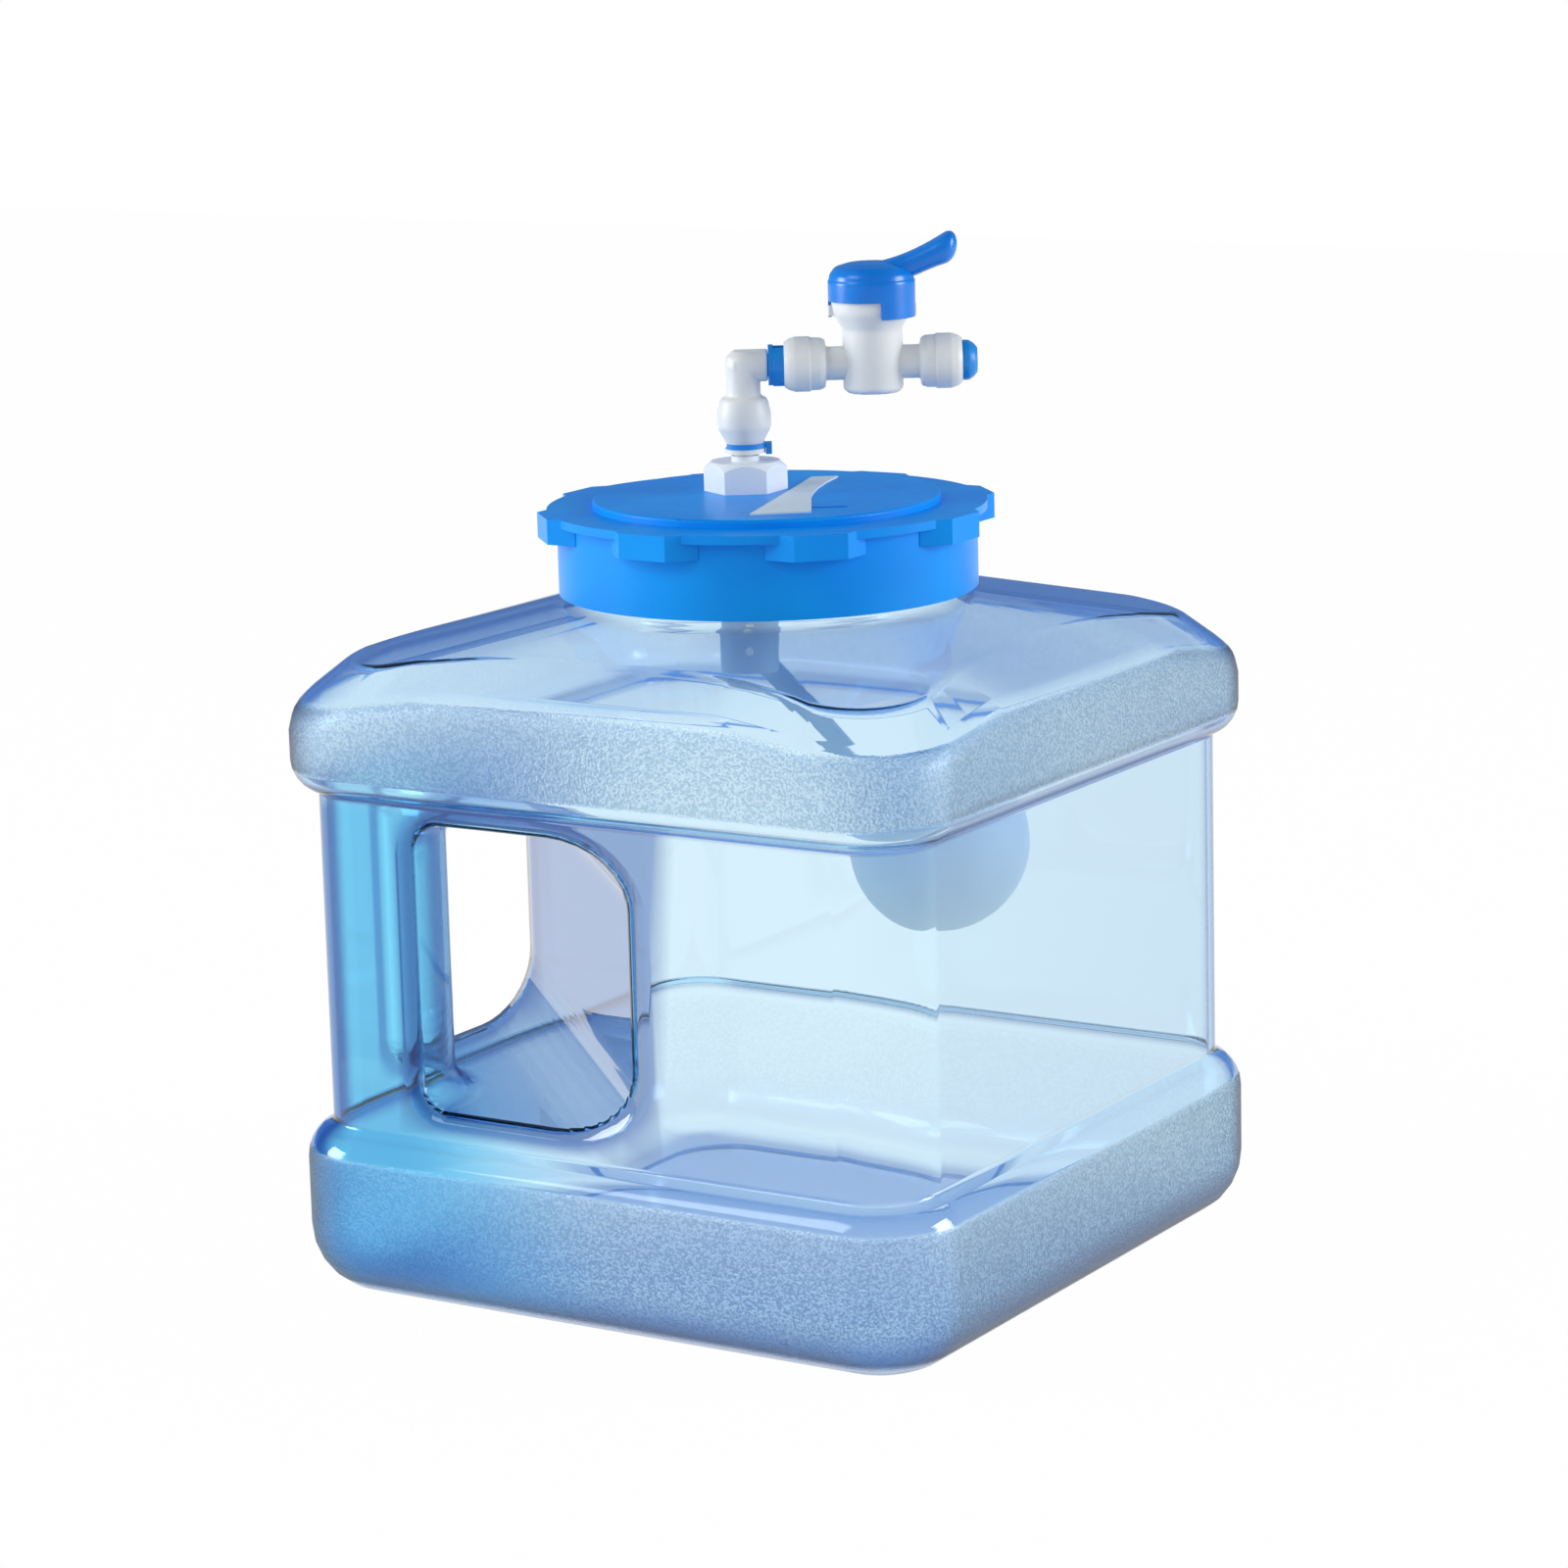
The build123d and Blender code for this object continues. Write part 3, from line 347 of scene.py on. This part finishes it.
# The gap is a prism along the corner's diagonal, less the column, whose root swells at both ends.
gap_offset = 62.5
gap_low, gap_high, gap_round = 62.0, 149.0, 20.0
column_edge = 62.5
column_round = 33.0
column_root = 9.0
mouth_round = 4.8
past_gap = 5.0
far = 200.0

turn = np.linspace(0, math.pi / 2, 10)
inward = gap_offset + gap_round * (1 - np.cos(turn))
low_arc = np.column_stack((inward, gap_low + gap_round * (1 - np.sin(turn))))
high_arc = np.column_stack((inward, gap_high - gap_round * (1 - np.sin(turn))))
section = np.concatenate((low_arc, [[far, gap_low], [far, gap_high]], high_arc[::-1]))
diagonal = np.array([-1, -1, 0]) / math.sqrt(2)
sideways = np.array([1, -1, 0]) / math.sqrt(2)
face = section[:, :1] * diagonal + section[:, 1:] * np.array([0, 0, 1])
gap_rows = np.array([face + far * sideways, face - far * sideways]) * MM
gap = piece("gap", gap_rows, closed_faces(gap_rows))

root_turn = np.linspace(0, math.pi / 2, 7)
root_levels = gap_low + column_root * (1 - np.cos(root_turn))
upper_levels = (gap_low + gap_high - root_levels)[::-1]
levels = np.concatenate(([gap_low - past_gap], root_levels, upper_levels, [gap_high + past_gap]))
swell = np.concatenate(([column_root], column_root * (1 - np.sin(root_turn))))
swell = np.concatenate((swell, swell[::-1]))
rim = (column_round + swell[:, None, None]) * np.stack((np.cos(turn), np.sin(turn)), -1)
outside = np.full(len(levels), -far)
edge = swell - column_edge
plan = np.concatenate(
    (
        np.stack((np.stack((outside, outside), -1), np.stack((edge, outside), -1)), 1),
        rim - column_edge - column_round,
        np.stack((outside, edge), -1)[:, None],
    ),
    axis=1,
)
heights = np.broadcast_to(levels[:, None, None], (*plan.shape[:2], 1))
column_rows = np.concatenate((plan, heights), axis=2) * MM
cut(gap, piece("column", column_rows, closed_faces(column_rows)))

shell = piece("container_shell", shell_stack, closed_faces(shell_stack))
cut(shell, gap)


def mouth_flare(name, turned_side):
    """
    The rounding of one mouth of the gap: the mouth's outline, moved outward by r(1 - sin t) at a
    depth of r(1 - cos t) behind the face, which is a quarter circle all round. The diagonal wall
    of the gap draws in by a millimetre for each millimetre of depth, and the column does not.
    Each point of the upper half is its place along the face and above the gap's top, the way
    outward there, and its share of that draw.
    """
    fan = np.linspace(0, math.pi / 2, 6)
    beside_column = np.column_stack(
        (
            -column_edge + column_root * (1 - np.cos(fan)),
            -column_root * (1 - np.sin(fan)),
            -np.cos(fan),
            np.sin(fan),
            np.zeros(len(fan)),
        )
    )
    wall_at_face = half_side - wall_inset - gap_offset * math.sqrt(2)
    wide = gap_round * math.sqrt(2)
    shares = np.array([0.45, 0.75])
    straight = np.zeros((len(shares), 5))
    straight[:, 0] = -column_edge + shares * (wall_at_face - wide + column_edge)
    straight[:, 3] = 1
    straight[:, 4] = shares
    arc = np.linspace(math.pi / 2, 0, 9)
    slant = np.stack((np.cos(arc) / wide, np.sin(arc) / gap_round), -1)
    slant /= np.linalg.norm(slant, axis=1, keepdims=True)
    bend = np.column_stack(
        (
            wall_at_face - wide * (1 - np.cos(arc)),
            -gap_round * (1 - np.sin(arc)),
            slant,
            np.ones(len(arc)),
        )
    )
    half = np.concatenate((beside_column, straight, bend))
    low = half[::-1] * (1, -1, 1, -1, 1)
    around = np.concatenate((half + (0, gap_high, 0, 0, 0), low + (0, gap_low, 0, 0, 0)))
    turn = np.linspace(0, math.pi / 2, 8)
    before_face, past_round, tuck = 2.5, 2.0, 0.6
    depths = np.concatenate(
        ([-before_face], mouth_round * (1 - np.cos(turn)), [mouth_round + past_round])
    )
    offsets = np.concatenate(([mouth_round], mouth_round * (1 - np.sin(turn)), [-tuck]))
    along = around[:, 0] + offsets[:, None] * around[:, 2] - depths[:, None] * around[:, 4]
    height = around[:, 1] + offsets[:, None] * around[:, 3]
    into = np.broadcast_to(wall_inset - half_side + depths[:, None], along.shape)
    rows = np.stack((into, along, height) if turned_side else (along, into, height), -1) * MM
    return piece(name, rows, closed_faces(rows if turned_side else rows[:, ::-1]))


cut(shell, mouth_flare("front_mouth", False))
cut(shell, mouth_flare("side_mouth", True))

# The neck is open: its lid comes off before the form gets its wall.
form = bmesh.new()
form.from_mesh(shell.data)
lid_over = (neck_top - 0.1) * MM
lid = [face for face in form.faces if face.calc_center_median().z > lid_over]
bmesh.ops.delete(form, geom=lid, context="FACES_ONLY")
bmesh.ops.remove_doubles(form, verts=form.verts, dist=1e-6)
form.to_mesh(shell.data)
form.free()
shell.data.polygons.foreach_set("use_smooth", np.full(len(shell.data.polygons), True))
outer_points = len(shell.data.vertices)
wall = shell.modifiers.new("wall", "SOLIDIFY")
wall.thickness = shell_wall * MM
wall.offset = -1
wall.use_even_offset = True
settle(shell)

# Two attributes for the material: which points are outside, and how far round a mouth's edge one
# is, as half a sine wave over the rounding's depth. The material paints navy by the second: painted
# dark refraction at the mouths.
walled = shell.data
skin = walled.attributes.new("outer_skin", "FLOAT", "POINT")
skin.data.foreach_set("value", (np.arange(len(walled.vertices)) < outer_points).astype(float))
places = np.empty(len(walled.vertices) * 3)
walled.vertices.foreach_get("co", places)
places = places.reshape(-1, 3) / MM
mouth_middle, mouth_half = -22.5, 47.0
gap_middle, mouth_tall_half = (gap_low + gap_high) / 2, 49.0
hair = 0.02
edge_share = np.zeros(len(places))
for into, beside in ((0, 1), (1, 0)):
    depth_in = places[:, into] + half_side - wall_inset
    near = np.abs(places[:, beside] - mouth_middle) < mouth_half
    near &= np.abs(places[:, 2] - gap_middle) < mouth_tall_half
    near &= (depth_in > hair) & (depth_in < mouth_round - hair)
    edge_share = np.maximum(edge_share, np.where(near, np.sin(math.pi * depth_in / mouth_round), 0))
walled.attributes.new("mouth_lip_refraction", "FLOAT", "POINT").data.foreach_set("value", edge_share)
shading = shell.modifiers.new("corners", "WEIGHTED_NORMAL")
shading.keep_sharp = True

# The plastic: clear blue, deeper in the handle. Navy is painted where it is seen edge on, at the
# mouths
# and under the upper band: painted dark refraction, for the dark that the thick, bent plastic shows
# there. Each pair is where a share starts to rise or fall and where it ends, in metres, or as a
# share of facing away.
handle_side, handle_top = (0.095, 0.165), (0.150, 0.162)
turn_foot, turn_head, turn_side = (0.1535, 0.1550), (0.1565, 0.1590), (-0.18, 0.0)
clear_edge_on, handle_edge_on = (0.40, 0.90), (0.24, 0.62)
# navy is the colour of the painted dark refraction
clear_tint, handle_tint, navy = (0.985, 0.993, 1.0), (0.50, 0.88, 1.0), (0.012, 0.07, 0.33)
clear_blue = Finish("clear_blue_shell", Roughness=0.02, IOR=1.45, Transmission_Weight=1.0)
x, y, z = clear_blue.axes()
outer = clear_blue.node("ShaderNodeAttribute", {"attribute_name": "outer_skin"}, output="Fac")
# painted dark refraction: navy round the rounded edges of the gap's mouths
mouth_refraction = clear_blue.node("ShaderNodeAttribute", {"attribute_name": "mouth_lip_refraction"}, output="Fac")
facing = clear_blue.node("ShaderNodeLayerWeight", {}, {"Blend": 0.5}, output="Facing")
handle = ((x + y) * -1.0).rises(*handle_side) * z.falls(*handle_top)
clear = clear_blue.blend(handle, clear_tint, handle_tint)
# painted dark refraction: navy on the outer skin just under the upper band, stronger towards the
# column's corner
underside = z.rises(*turn_foot) * z.falls(*turn_head) * outer
underside = underside * (0.55 + 0.45 * (x + y).falls(*turn_side))
# painted dark refraction: navy where the plastic is seen edge on, starting sooner in the handle
edge_on_refraction = facing.rises(*clear_edge_on).most(handle * facing.rises(*handle_edge_on))
painted_refraction_share = edge_on_refraction.most(0.9 * mouth_refraction).most(0.85 * underside)
blue_with_painted_refraction = clear_blue.blend(painted_refraction_share, clear, navy)

# The stipple on the two bands: where each starts and ends, in metres up. The upper one ends lower
# towards the corners. On the inner wall it shows only faintly.
low_foot, low_head = (0.003, 0.007), (0.0445, 0.0465)
high_foot = (0.1615, 0.1635)
high_head, head_fade = 0.1875, 0.0012
corner_start, corner_fall = 0.165, 0.14
low_frost = z.rises(*low_foot) * z.falls(*low_head)
head_height = high_head - corner_fall * (x.size() + y.size() - corner_start).most(0.0)
high_frost = z.rises(*high_foot) * (z - head_height).falls(-head_fade, head_fade)
behind = clear_blue.node("ShaderNodeNewGeometry", output="Backfacing")
frost = low_frost.most(high_frost) * outer * (1 - 0.8 * behind)

# Its specks: pale lumps high up, deeper ones towards the foot, navy at the foot's rim and edge on.
# The navy edge on is painted dark refraction.
speck_size, cloud_size = 0.0008, 0.05
pale_lump, pale_speck = (0.50, 0.60, 0.66), (1.0, 1.0, 1.0)
deep_lump, deep_speck = (0.06, 0.18, 0.40), (0.44, 0.66, 0.88)
foot_navy, handle_frost = (0.03, 0.12, 0.40), (0.10, 0.46, 0.85)
grain = clear_blue.noise(speck_size)
speck = grain.rises(0.42, 0.60)
pale_frost = clear_blue.blend(speck, pale_lump, pale_speck)
deep_frost = clear_blue.blend(speck, deep_lump, deep_speck)
depth = z.falls(0.0, 0.06) * (0.75 + 0.25 * clear_blue.noise(cloud_size))
frost_blue = clear_blue.blend(depth.least(1.0), pale_frost, deep_frost)
# navy in the lowest two centimetres, and painted dark refraction where the frost is seen edge on
foot_rim_and_edge_refraction = z.falls(0.006, 0.022).most(facing.rises(0.62, 0.93))
foot_blue = clear_blue.blend(foot_rim_and_edge_refraction.least(1.0), frost_blue, foot_navy)
frost_tint = clear_blue.blend(0.6 * handle, foot_blue, handle_frost)
clear_blue.shade(
    Base_Color=clear_blue.blend(frost, blue_with_painted_refraction, frost_tint),
    Roughness=0.02 + 0.33 * frost,
    Normal=clear_blue.bump(frost * grain, 0.0007, 0.7),
)
tinted = {"Color": (0.05, 0.70, 0.985), "Density": 85.0}
absorbed = clear_blue.node("ShaderNodeVolumeAbsorption", {}, tinted)
clear_blue.give(clear_blue.ending, {"Volume": absorbed})
clear_blue.onto(shell)
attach(shell, "container")
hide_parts("container_body")

# Screw cap: moulded in opaque blue plastic with a satin face. Its skirt screws onto the neck, and
# eight lobes under the plate's edge give the hand a grip.
cap_deep, cap_bright = (0.0, 0.27, 0.90), (0.0, 0.36, 0.98)
cap_blue = Finish("cap_blue", Roughness=0.32, IOR=1.45, Specular_IOR_Level=0.2)
cap_blue.shade(
    Base_Color=cap_blue.blend(cap_blue.noise(0.06).rises(0.35, 0.7), cap_deep, cap_bright),
    Roughness=0.28 + 0.1 * cap_blue.noise(0.004, 3.0),
    Normal=cap_blue.bump(cap_blue.noise(0.0012, 3.0), 0.00004, 0.4),
)
cap_blue.onto(nodes["cap"])

# Gasket under the cap, the washer on the valve's flange and the seats of the tap's ball: soft
# pale rubber, cut or moulded flat, and squeezed between the parts on either side.
gasket = Finish("gasket_rubber", Roughness=0.7)
gasket.shade(Base_Color=gasket.mottle(0.003, 4.0, (0.72, 0.75, 0.77), (0.84, 0.86, 0.87)))
for name in ("cap_gasket", "lid_washer", "tap_seat_inlet", "tap_seat_outlet"):
    gasket.onto(nodes[name])

# Pale strip: a thin plastic tape, laid flat across the disc of the cap beside the nut. It is
# bare and a little cloudy.
strip = Finish("pale_strip", Roughness=0.5)
strip.shade(Base_Color=strip.mottle(0.006, 3.0, (0.60, 0.74, 0.82), (0.76, 0.86, 0.92)))
strip.onto(nodes["cap_strip"])

# Valve body, nut and plunger: moulded in white plastic, a little milky. The body goes up through
# the cap, and the nut draws it tight from above.
milky = Finish("valve_white", Roughness=0.35, Subsurface_Weight=0.1)
milky.shade(
    Base_Color=milky.mottle(0.01, 3.0, (0.84, 0.88, 0.95), (0.92, 0.95, 0.99)),
    Normal=milky.bump(milky.noise(0.0015), 0.00003, 0.5),
)
milky.onto(nodes["float_valve_body"], nodes["lid_nut"], nodes["valve_plunger"])

# Float: a hollow ball blown in pale plastic, whose stub sits in the end of an arm of the same
# plastic. The arm hangs in the valve's fork.
float_pale = Finish("float_pale", Roughness=0.45)
float_pale.shade(
    Base_Color=float_pale.mottle(0.02, 3.0, (0.66, 0.80, 0.88), (0.74, 0.87, 0.94)),
    Normal=float_pale.bump(float_pale.noise(0.002), 0.00004, 0.5),
)
float_pale.onto(nodes["float_ball"], nodes["float_arm"])

# Pin of the arm: a short length of drawn steel wire, pressed through the fork, with the arm
# loose on it.
pin_steel = Finish("pin_steel", Metallic=1.0, Roughness=0.25)
pin_steel.shade(Base_Color=pin_steel.mottle(0.001, 3.0, (0.5, 0.5, 0.5), (0.7, 0.7, 0.7)))
pin_steel.onto(nodes["arm_pin"])

# Elbow, its collet, and the tap's body and ball: moulded in white acetal with a satin skin. Tubes
# are pushed into their sockets, where the collets grip them.
acetal = Finish("fitting_white", Roughness=0.38)
acetal.shade(
    Base_Color=acetal.mottle(0.008, 3.0, (0.76, 0.79, 0.78), (0.84, 0.86, 0.85)),
    Normal=acetal.bump(acetal.noise(0.0015), 0.00003, 0.5),
)
acetal.onto(nodes["elbow_collet"], nodes["tap_ball"])


def turned(name, profile, centre, axis, reach=0.0, around=72):
    """
    A turned solid: each point of the profile, a distance along the axis and a radius, is carried
    round the axis in a circle, and the corners of the profile are softened by reach.
    """
    axis = np.array(axis, float)
    first = np.cross(axis, (0.31, -0.47, 0.83))
    first /= np.linalg.norm(first)
    second = np.cross(axis, first)
    angle = np.linspace(0, 2 * math.pi, around, endpoint=False)
    circle = np.cos(angle)[:, None] * first + np.sin(angle)[:, None] * second
    along, radius = np.array(profile).T[..., None, None]
    rings = np.array(centre) + axis * along + radius * circle
    stack = softened(list(rings), [reach] * len(rings))
    return piece(name, stack, closed_faces(stack))


pipe_heading = math.radians(32)
along_pipe = np.array([math.cos(pipe_heading), math.sin(pipe_heading), 0])
upright = np.array([0.0, 0.0, 1.0])
valve_place = np.array([-10.822, 5.619, 0])
pipe_height = 274.3
tap_distance = 39.4
elbow_mouth = 250.9
elbow_foot = valve_place + elbow_mouth * upright
elbow_corner = valve_place + pipe_height * upright
tap_place = elbow_corner + tap_distance * along_pipe
tube_radius = 3.175
socket_radius, throat_radius = 4.7, 3.3
pipe_radius = 5.2
mitre_rise = pipe_height - elbow_mouth + 2.6
sharp_over = math.radians(40)

# The elbow: a barrel over the valve's tube, a mitred corner, and an arm with the tube that goes
# on into the tap.
elbow = turned(
    "elbow_moulding",
    [
        (0.0, 5.7), (1.2, 6.2), (4.8, 8.2), (8.9, 8.2), (12.9, 7.3), (13.7, 6.7),
        (14.3, pipe_radius), (mitre_rise, pipe_radius), (mitre_rise + 1.8, 3.2),
    ],
    elbow_foot,
    upright,
    reach=1.1,
)
arm = [(-4.4, 3.2), (-2.6, 4.9), (7.2, 4.9), (7.6, 4.5), (7.6, tube_radius), (26.9, tube_radius)]
cut(elbow, turned("arm", arm, elbow_corner, along_pipe, reach=0.7), "UNION")
socket = [(-3.0, socket_radius), (6.5, socket_radius), (6.5, throat_radius), (11.0, throat_radius)]
cut(elbow, turned("socket", socket, elbow_foot, upright))
elbow.data.set_sharp_from_angle(angle=sharp_over)
acetal.onto(elbow)
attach(elbow, "elbow")
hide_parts("elbow_body")


def bent_block(name, middle, half_turn, steps, radii, heights):
    """
    A block bent round the tap's upright axis: the sector of a ring between two radii and two
    heights, half_turn to either side of the heading at its middle.
    """
    sweep = np.linspace(middle - half_turn, middle + half_turn, steps)
    rim = np.stack((np.cos(sweep), np.sin(sweep), np.zeros(steps)), -1)
    plan = np.concatenate((radii[0] * rim, radii[1] * rim[::-1]))
    rows = (plan + np.array(heights)[:, None, None] * upright + tap_place) * MM
    return piece(name, rows, closed_faces(rows))


# The tap: a waisted body that widens to a collar, a barrel each way along the pipe, bored for a
# tube and recessed at the outlet, and two lugs on the collar.
tap = turned(
    "tap_moulding",
    [(-8.9, 7.7), (-7.8, 9.1), (10.4, 9.1), (15.1, 11.9), (17.0, 12.2), (22.6, 12.2)],
    tap_place,
    upright,
    reach=1.0,
)
barrel = [
    (0.0, 5.1), (14.2, 5.1), (14.5, 7.2), (16.0, 7.9), (19.0, 8.0), (19.05, 8.35), (23.6, 8.35),
    (25.6, 7.7), (26.9, 6.8),
]
tap_socket = [(20.4, socket_radius), (30.0, socket_radius)]
tap_throat = [(7.0, throat_radius), (21.0, throat_radius)]
outlet_recess = [(25.2, 6.25), (30.0, 6.25)]
for way in (along_pipe, -along_pipe):
    cut(tap, turned("barrel", barrel, tap_place, way, reach=0.5), "UNION")
    cut(tap, turned("socket", tap_socket, tap_place, way))
    cut(tap, turned("throat", tap_throat, tap_place, way))
cut(tap, turned("recess", outlet_recess, tap_place, along_pipe))
lug_heading, lug_half = math.radians(4.1), math.radians(7.5)
lug_radii, lug_levels = (13.3, 11.5), (14.6, 17.6)
for side in (0, math.pi):
    lug = pipe_heading + lug_heading + side
    cut(tap, bent_block("lug", lug, lug_half, 5, lug_radii, lug_levels), "UNION")
tap.data.set_sharp_from_angle(angle=sharp_over)
acetal.onto(tap)
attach(tap, "tap")
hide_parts("tap_body")

# Locking clips and the tap's collets: moulded in blue plastic with a satin skin. A clip is pressed
# in under a collet's flange, and the outlet's domed collet is pushed in to free a tube.
clip_blue = Finish("clip_blue", Roughness=0.35)
clip_blue.shade(Base_Color=clip_blue.mottle(0.004, 3.0, (0.0, 0.20, 0.66), (0.01, 0.30, 0.80)))
clip_blue.onto(nodes["elbow_clip"], nodes["tap_inlet_clip"], nodes["tap_inlet_collet"])
button = turned(
    "outlet_button",
    [(21.9, 4.6), (26.8, 4.6), (26.85, 6.1), (28.9, 6.05), (30.4, 5.1), (31.5, 3.8)],
    tap_place,
    along_pipe,
    reach=0.5,
)
tube_bore = [(20.0, 3.24), (33.0, 3.24)]
cut(button, turned("bore", tube_bore, tap_place, along_pipe))
button.data.set_sharp_from_angle(angle=sharp_over)
clip_blue.onto(button)
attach(button, "outlet_collet")
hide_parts("tap_outlet_collet")

# Rings inside the fittings and the plunger's disc: black rubber, matte, squeezed between a tube,
# a stem or a seat and the wall round it.
seal_rubber = Finish("seal_rubber", Roughness=0.6)
seal_rubber.shade(Base_Color=seal_rubber.mottle(0.001, 3.0, (0.02, 0.02, 0.02), (0.05, 0.05, 0.05)))
for name in ("elbow_seal", "tap_inlet_seal", "tap_outlet_seal", "tap_stem_seal", "plunger_seal"):
    seal_rubber.onto(nodes[name])

# Lever of the tap: moulded in deep blue glossy plastic, pressed onto the ball's stem. Its ring
# covers the tap's collar, and two stops hang from the ring and meet the collar's lugs.
lever_blue = Finish("lever_blue", Roughness=0.25)
lever_blue.shade(Base_Color=lever_blue.mottle(0.01, 3.0, (0.0, 0.15, 0.66), (0.0, 0.25, 0.82)))
ring_foot, ring_radius, ring_bore = 19.0, 13.2, 12.35
lever = turned(
    "lever_moulding",
    [
        (ring_foot, ring_radius), (24.9, ring_radius), (25.2, 12.85), (26.9, 12.6), (29.0, 11.0),
        (30.2, 7.0), (30.6, 2.0), (30.65, 0.4),
    ],
    tap_place,
    upright,
    reach=0.9,
)
hollow = [(15.0, ring_bore), (22.75, ring_bore)]
stem_boss = [(15.6, 6.0), (25.0, 6.0)]
cut(lever, turned("hollow", hollow, tap_place, upright))
cut(lever, turned("boss", stem_boss, tap_place, upright), "UNION")
stop_heading, stop_half = math.radians(-40.9), math.radians(37.4)
stop_radii, stop_levels = (ring_radius, ring_bore), (13.9, 19.6)
for side in (0, math.pi):
    stop = pipe_heading + stop_heading + side
    cut(lever, bent_block("stop", stop, stop_half, 20, stop_radii, stop_levels), "UNION")

# Its paddle: rounded sections along the arm, between a cubic crest and a cubic underside, which
# close in a quarter ellipse at the tip. A section is a circle whose sine and cosine are raised to
# a power under 1, which squares it a little.
tip_start, tip_length = 22.0, 4.0
squareness = 0.7
tip_turn = np.linspace(0.15, math.pi / 2 - 0.08, 9)
reach = np.concatenate((np.linspace(3.0, tip_start, 20), tip_start + tip_length * np.sin(tip_turn)))
crest = np.polyval(np.polyfit([0, 9, 18.1, 23.6], [30.0, 32.2, 36.2, 39.4], 3), reach)
under = np.polyval(np.polyfit([3, 11.1, 16.6, 24.0], [24.6, 25.2, 27.3, 29.6], 3), reach)
closing = np.sqrt(np.maximum(1 - np.maximum((reach - tip_start) / tip_length, 0) ** 2, 0))
middle = (crest + under) / 2
half_tall = (crest - under) / 2 * closing
half_wide = np.interp(reach, [3, 10, 16, 20.2, 26.2], [4.8, 4.8, 5.5, 6.0, 6.0]) * closing**0.8
angle = np.linspace(0, 2 * math.pi, 40, endpoint=False)
across = np.sign(np.cos(angle)) * np.abs(np.cos(angle)) ** squareness
upward = np.sign(np.sin(angle)) * np.abs(np.sin(angle)) ** squareness
side_way = np.array([-along_pipe[1], along_pipe[0], 0])
paddle_rows = (
    reach[:, None, None] * along_pipe
    + (half_wide[:, None] * across)[..., None] * side_way
    + (middle[:, None] + half_tall[:, None] * upward)[..., None] * upright
    + tap_place
) * MM
cut(lever, piece("paddle", paddle_rows, closed_faces(paddle_rows)), "UNION")
lever.data.set_sharp_from_angle(angle=math.radians(35))
lever_blue.onto(lever)
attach(lever, "lever")
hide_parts("tap_lever")

# Floor of the studio: a pale sheet under the object, white to the eye and in what the plastic
# mirrors or lets through, with a small share of its own paper, on which the shadow shows.
floor_half = 3.0
floor_below = 0.0002
floor_finish = Finish("studio_floor", Base_Color=(0.95, 0.95, 0.95), Roughness=0.9)
white = floor_finish.node("ShaderNodeEmission", {}, {"Color": (1, 1, 1), "Strength": 1.0})
rays = floor_finish.node("ShaderNodeLightPath", output="Is Camera Ray")
seen = rays.most(rays.beside("Is Glossy Ray")).most(rays.beside("Is Transmission Ray"))
paper = Flow(floor_finish, floor_finish.shader.outputs[0])
mixed = floor_finish.node("ShaderNodeMixShader", {}, {0: seen * 0.985, 1: paper, 2: white})
floor_finish.give(floor_finish.ending, {"Surface": mixed})
floor_points = np.array([[-1, -1, 0], [1, -1, 0], [1, 1, 0], [-1, 1, 0]]) * floor_half
floor = piece("studio_floor", floor_points, [(0, 1, 2, 3)], smooth=False)
floor_finish.onto(floor)
floor.location.z = -floor_below


# Room of the studio: white to the eye and through the plastic, dimmer for what it lights, darker
# overhead, and bluish where the plastic mirrors it.
class Room(Finish):
    """The room's light: the same kind of nodes, on the world instead of a material."""

    def __init__(self, name):
        world = bpy.data.worlds.new(name)
        world.use_nodes = True
        bpy.context.scene.world = world
        self.tree = world.node_tree
        self.shader = self.tree.nodes["Background"]


room_light = 0.55
room_white, overhead_blue, mirrored_blue = (1, 1, 1), (0.12, 0.18, 0.30), (0.30, 0.52, 0.95)
room = Room("studio")
to_eye = room.node("ShaderNodeLightPath", output="Is Camera Ray")
way = room.node("ShaderNodeTexCoord", output="Generated")
steepness = room.node("ShaderNodeSeparateXYZ", {}, {"Vector": way}, output="Z")
ramp = {"Value": steepness, "From Min": 0.62, "From Max": 0.95}
overhead = room.node("ShaderNodeMapRange", {}, ramp)
tint = room.blend(overhead * (1 - to_eye), room_white, overhead_blue)
room.shade(
    Color=room.blend(to_eye.beside("Is Glossy Ray"), tint, mirrored_blue),
    Strength=room_light + (1 - room_light) * to_eye.most(to_eye.beside("Is Transmission Ray")),
)

# Lamps of the studio: three soft squares, one high in front and one low at each side. Each is a
# place, a power in watts and a width in metres, and is turned to the middle of the object.
lamps = {
    "key": ((-0.9, -1.7, 1.7), 12.0, 1.0),
    "left_side": ((-1.5, -0.9, 0.55), 16.0, 0.7),
    "right_side": ((1.5, 0.7, 0.6), 16.0, 0.7),
}
lit_point = Vector((0, 0, 0.15))
for name, (place, power, width) in lamps.items():
    lamp = bpy.data.objects.new(name, bpy.data.lights.new(name, "AREA"))
    lamp.data.energy = power
    lamp.data.size = width
    lamp.location = place
    lamp.rotation_euler = (Vector(place) - lit_point).to_track_quat("Z", "Y").to_euler()
    bpy.context.scene.collection.objects.link(lamp)
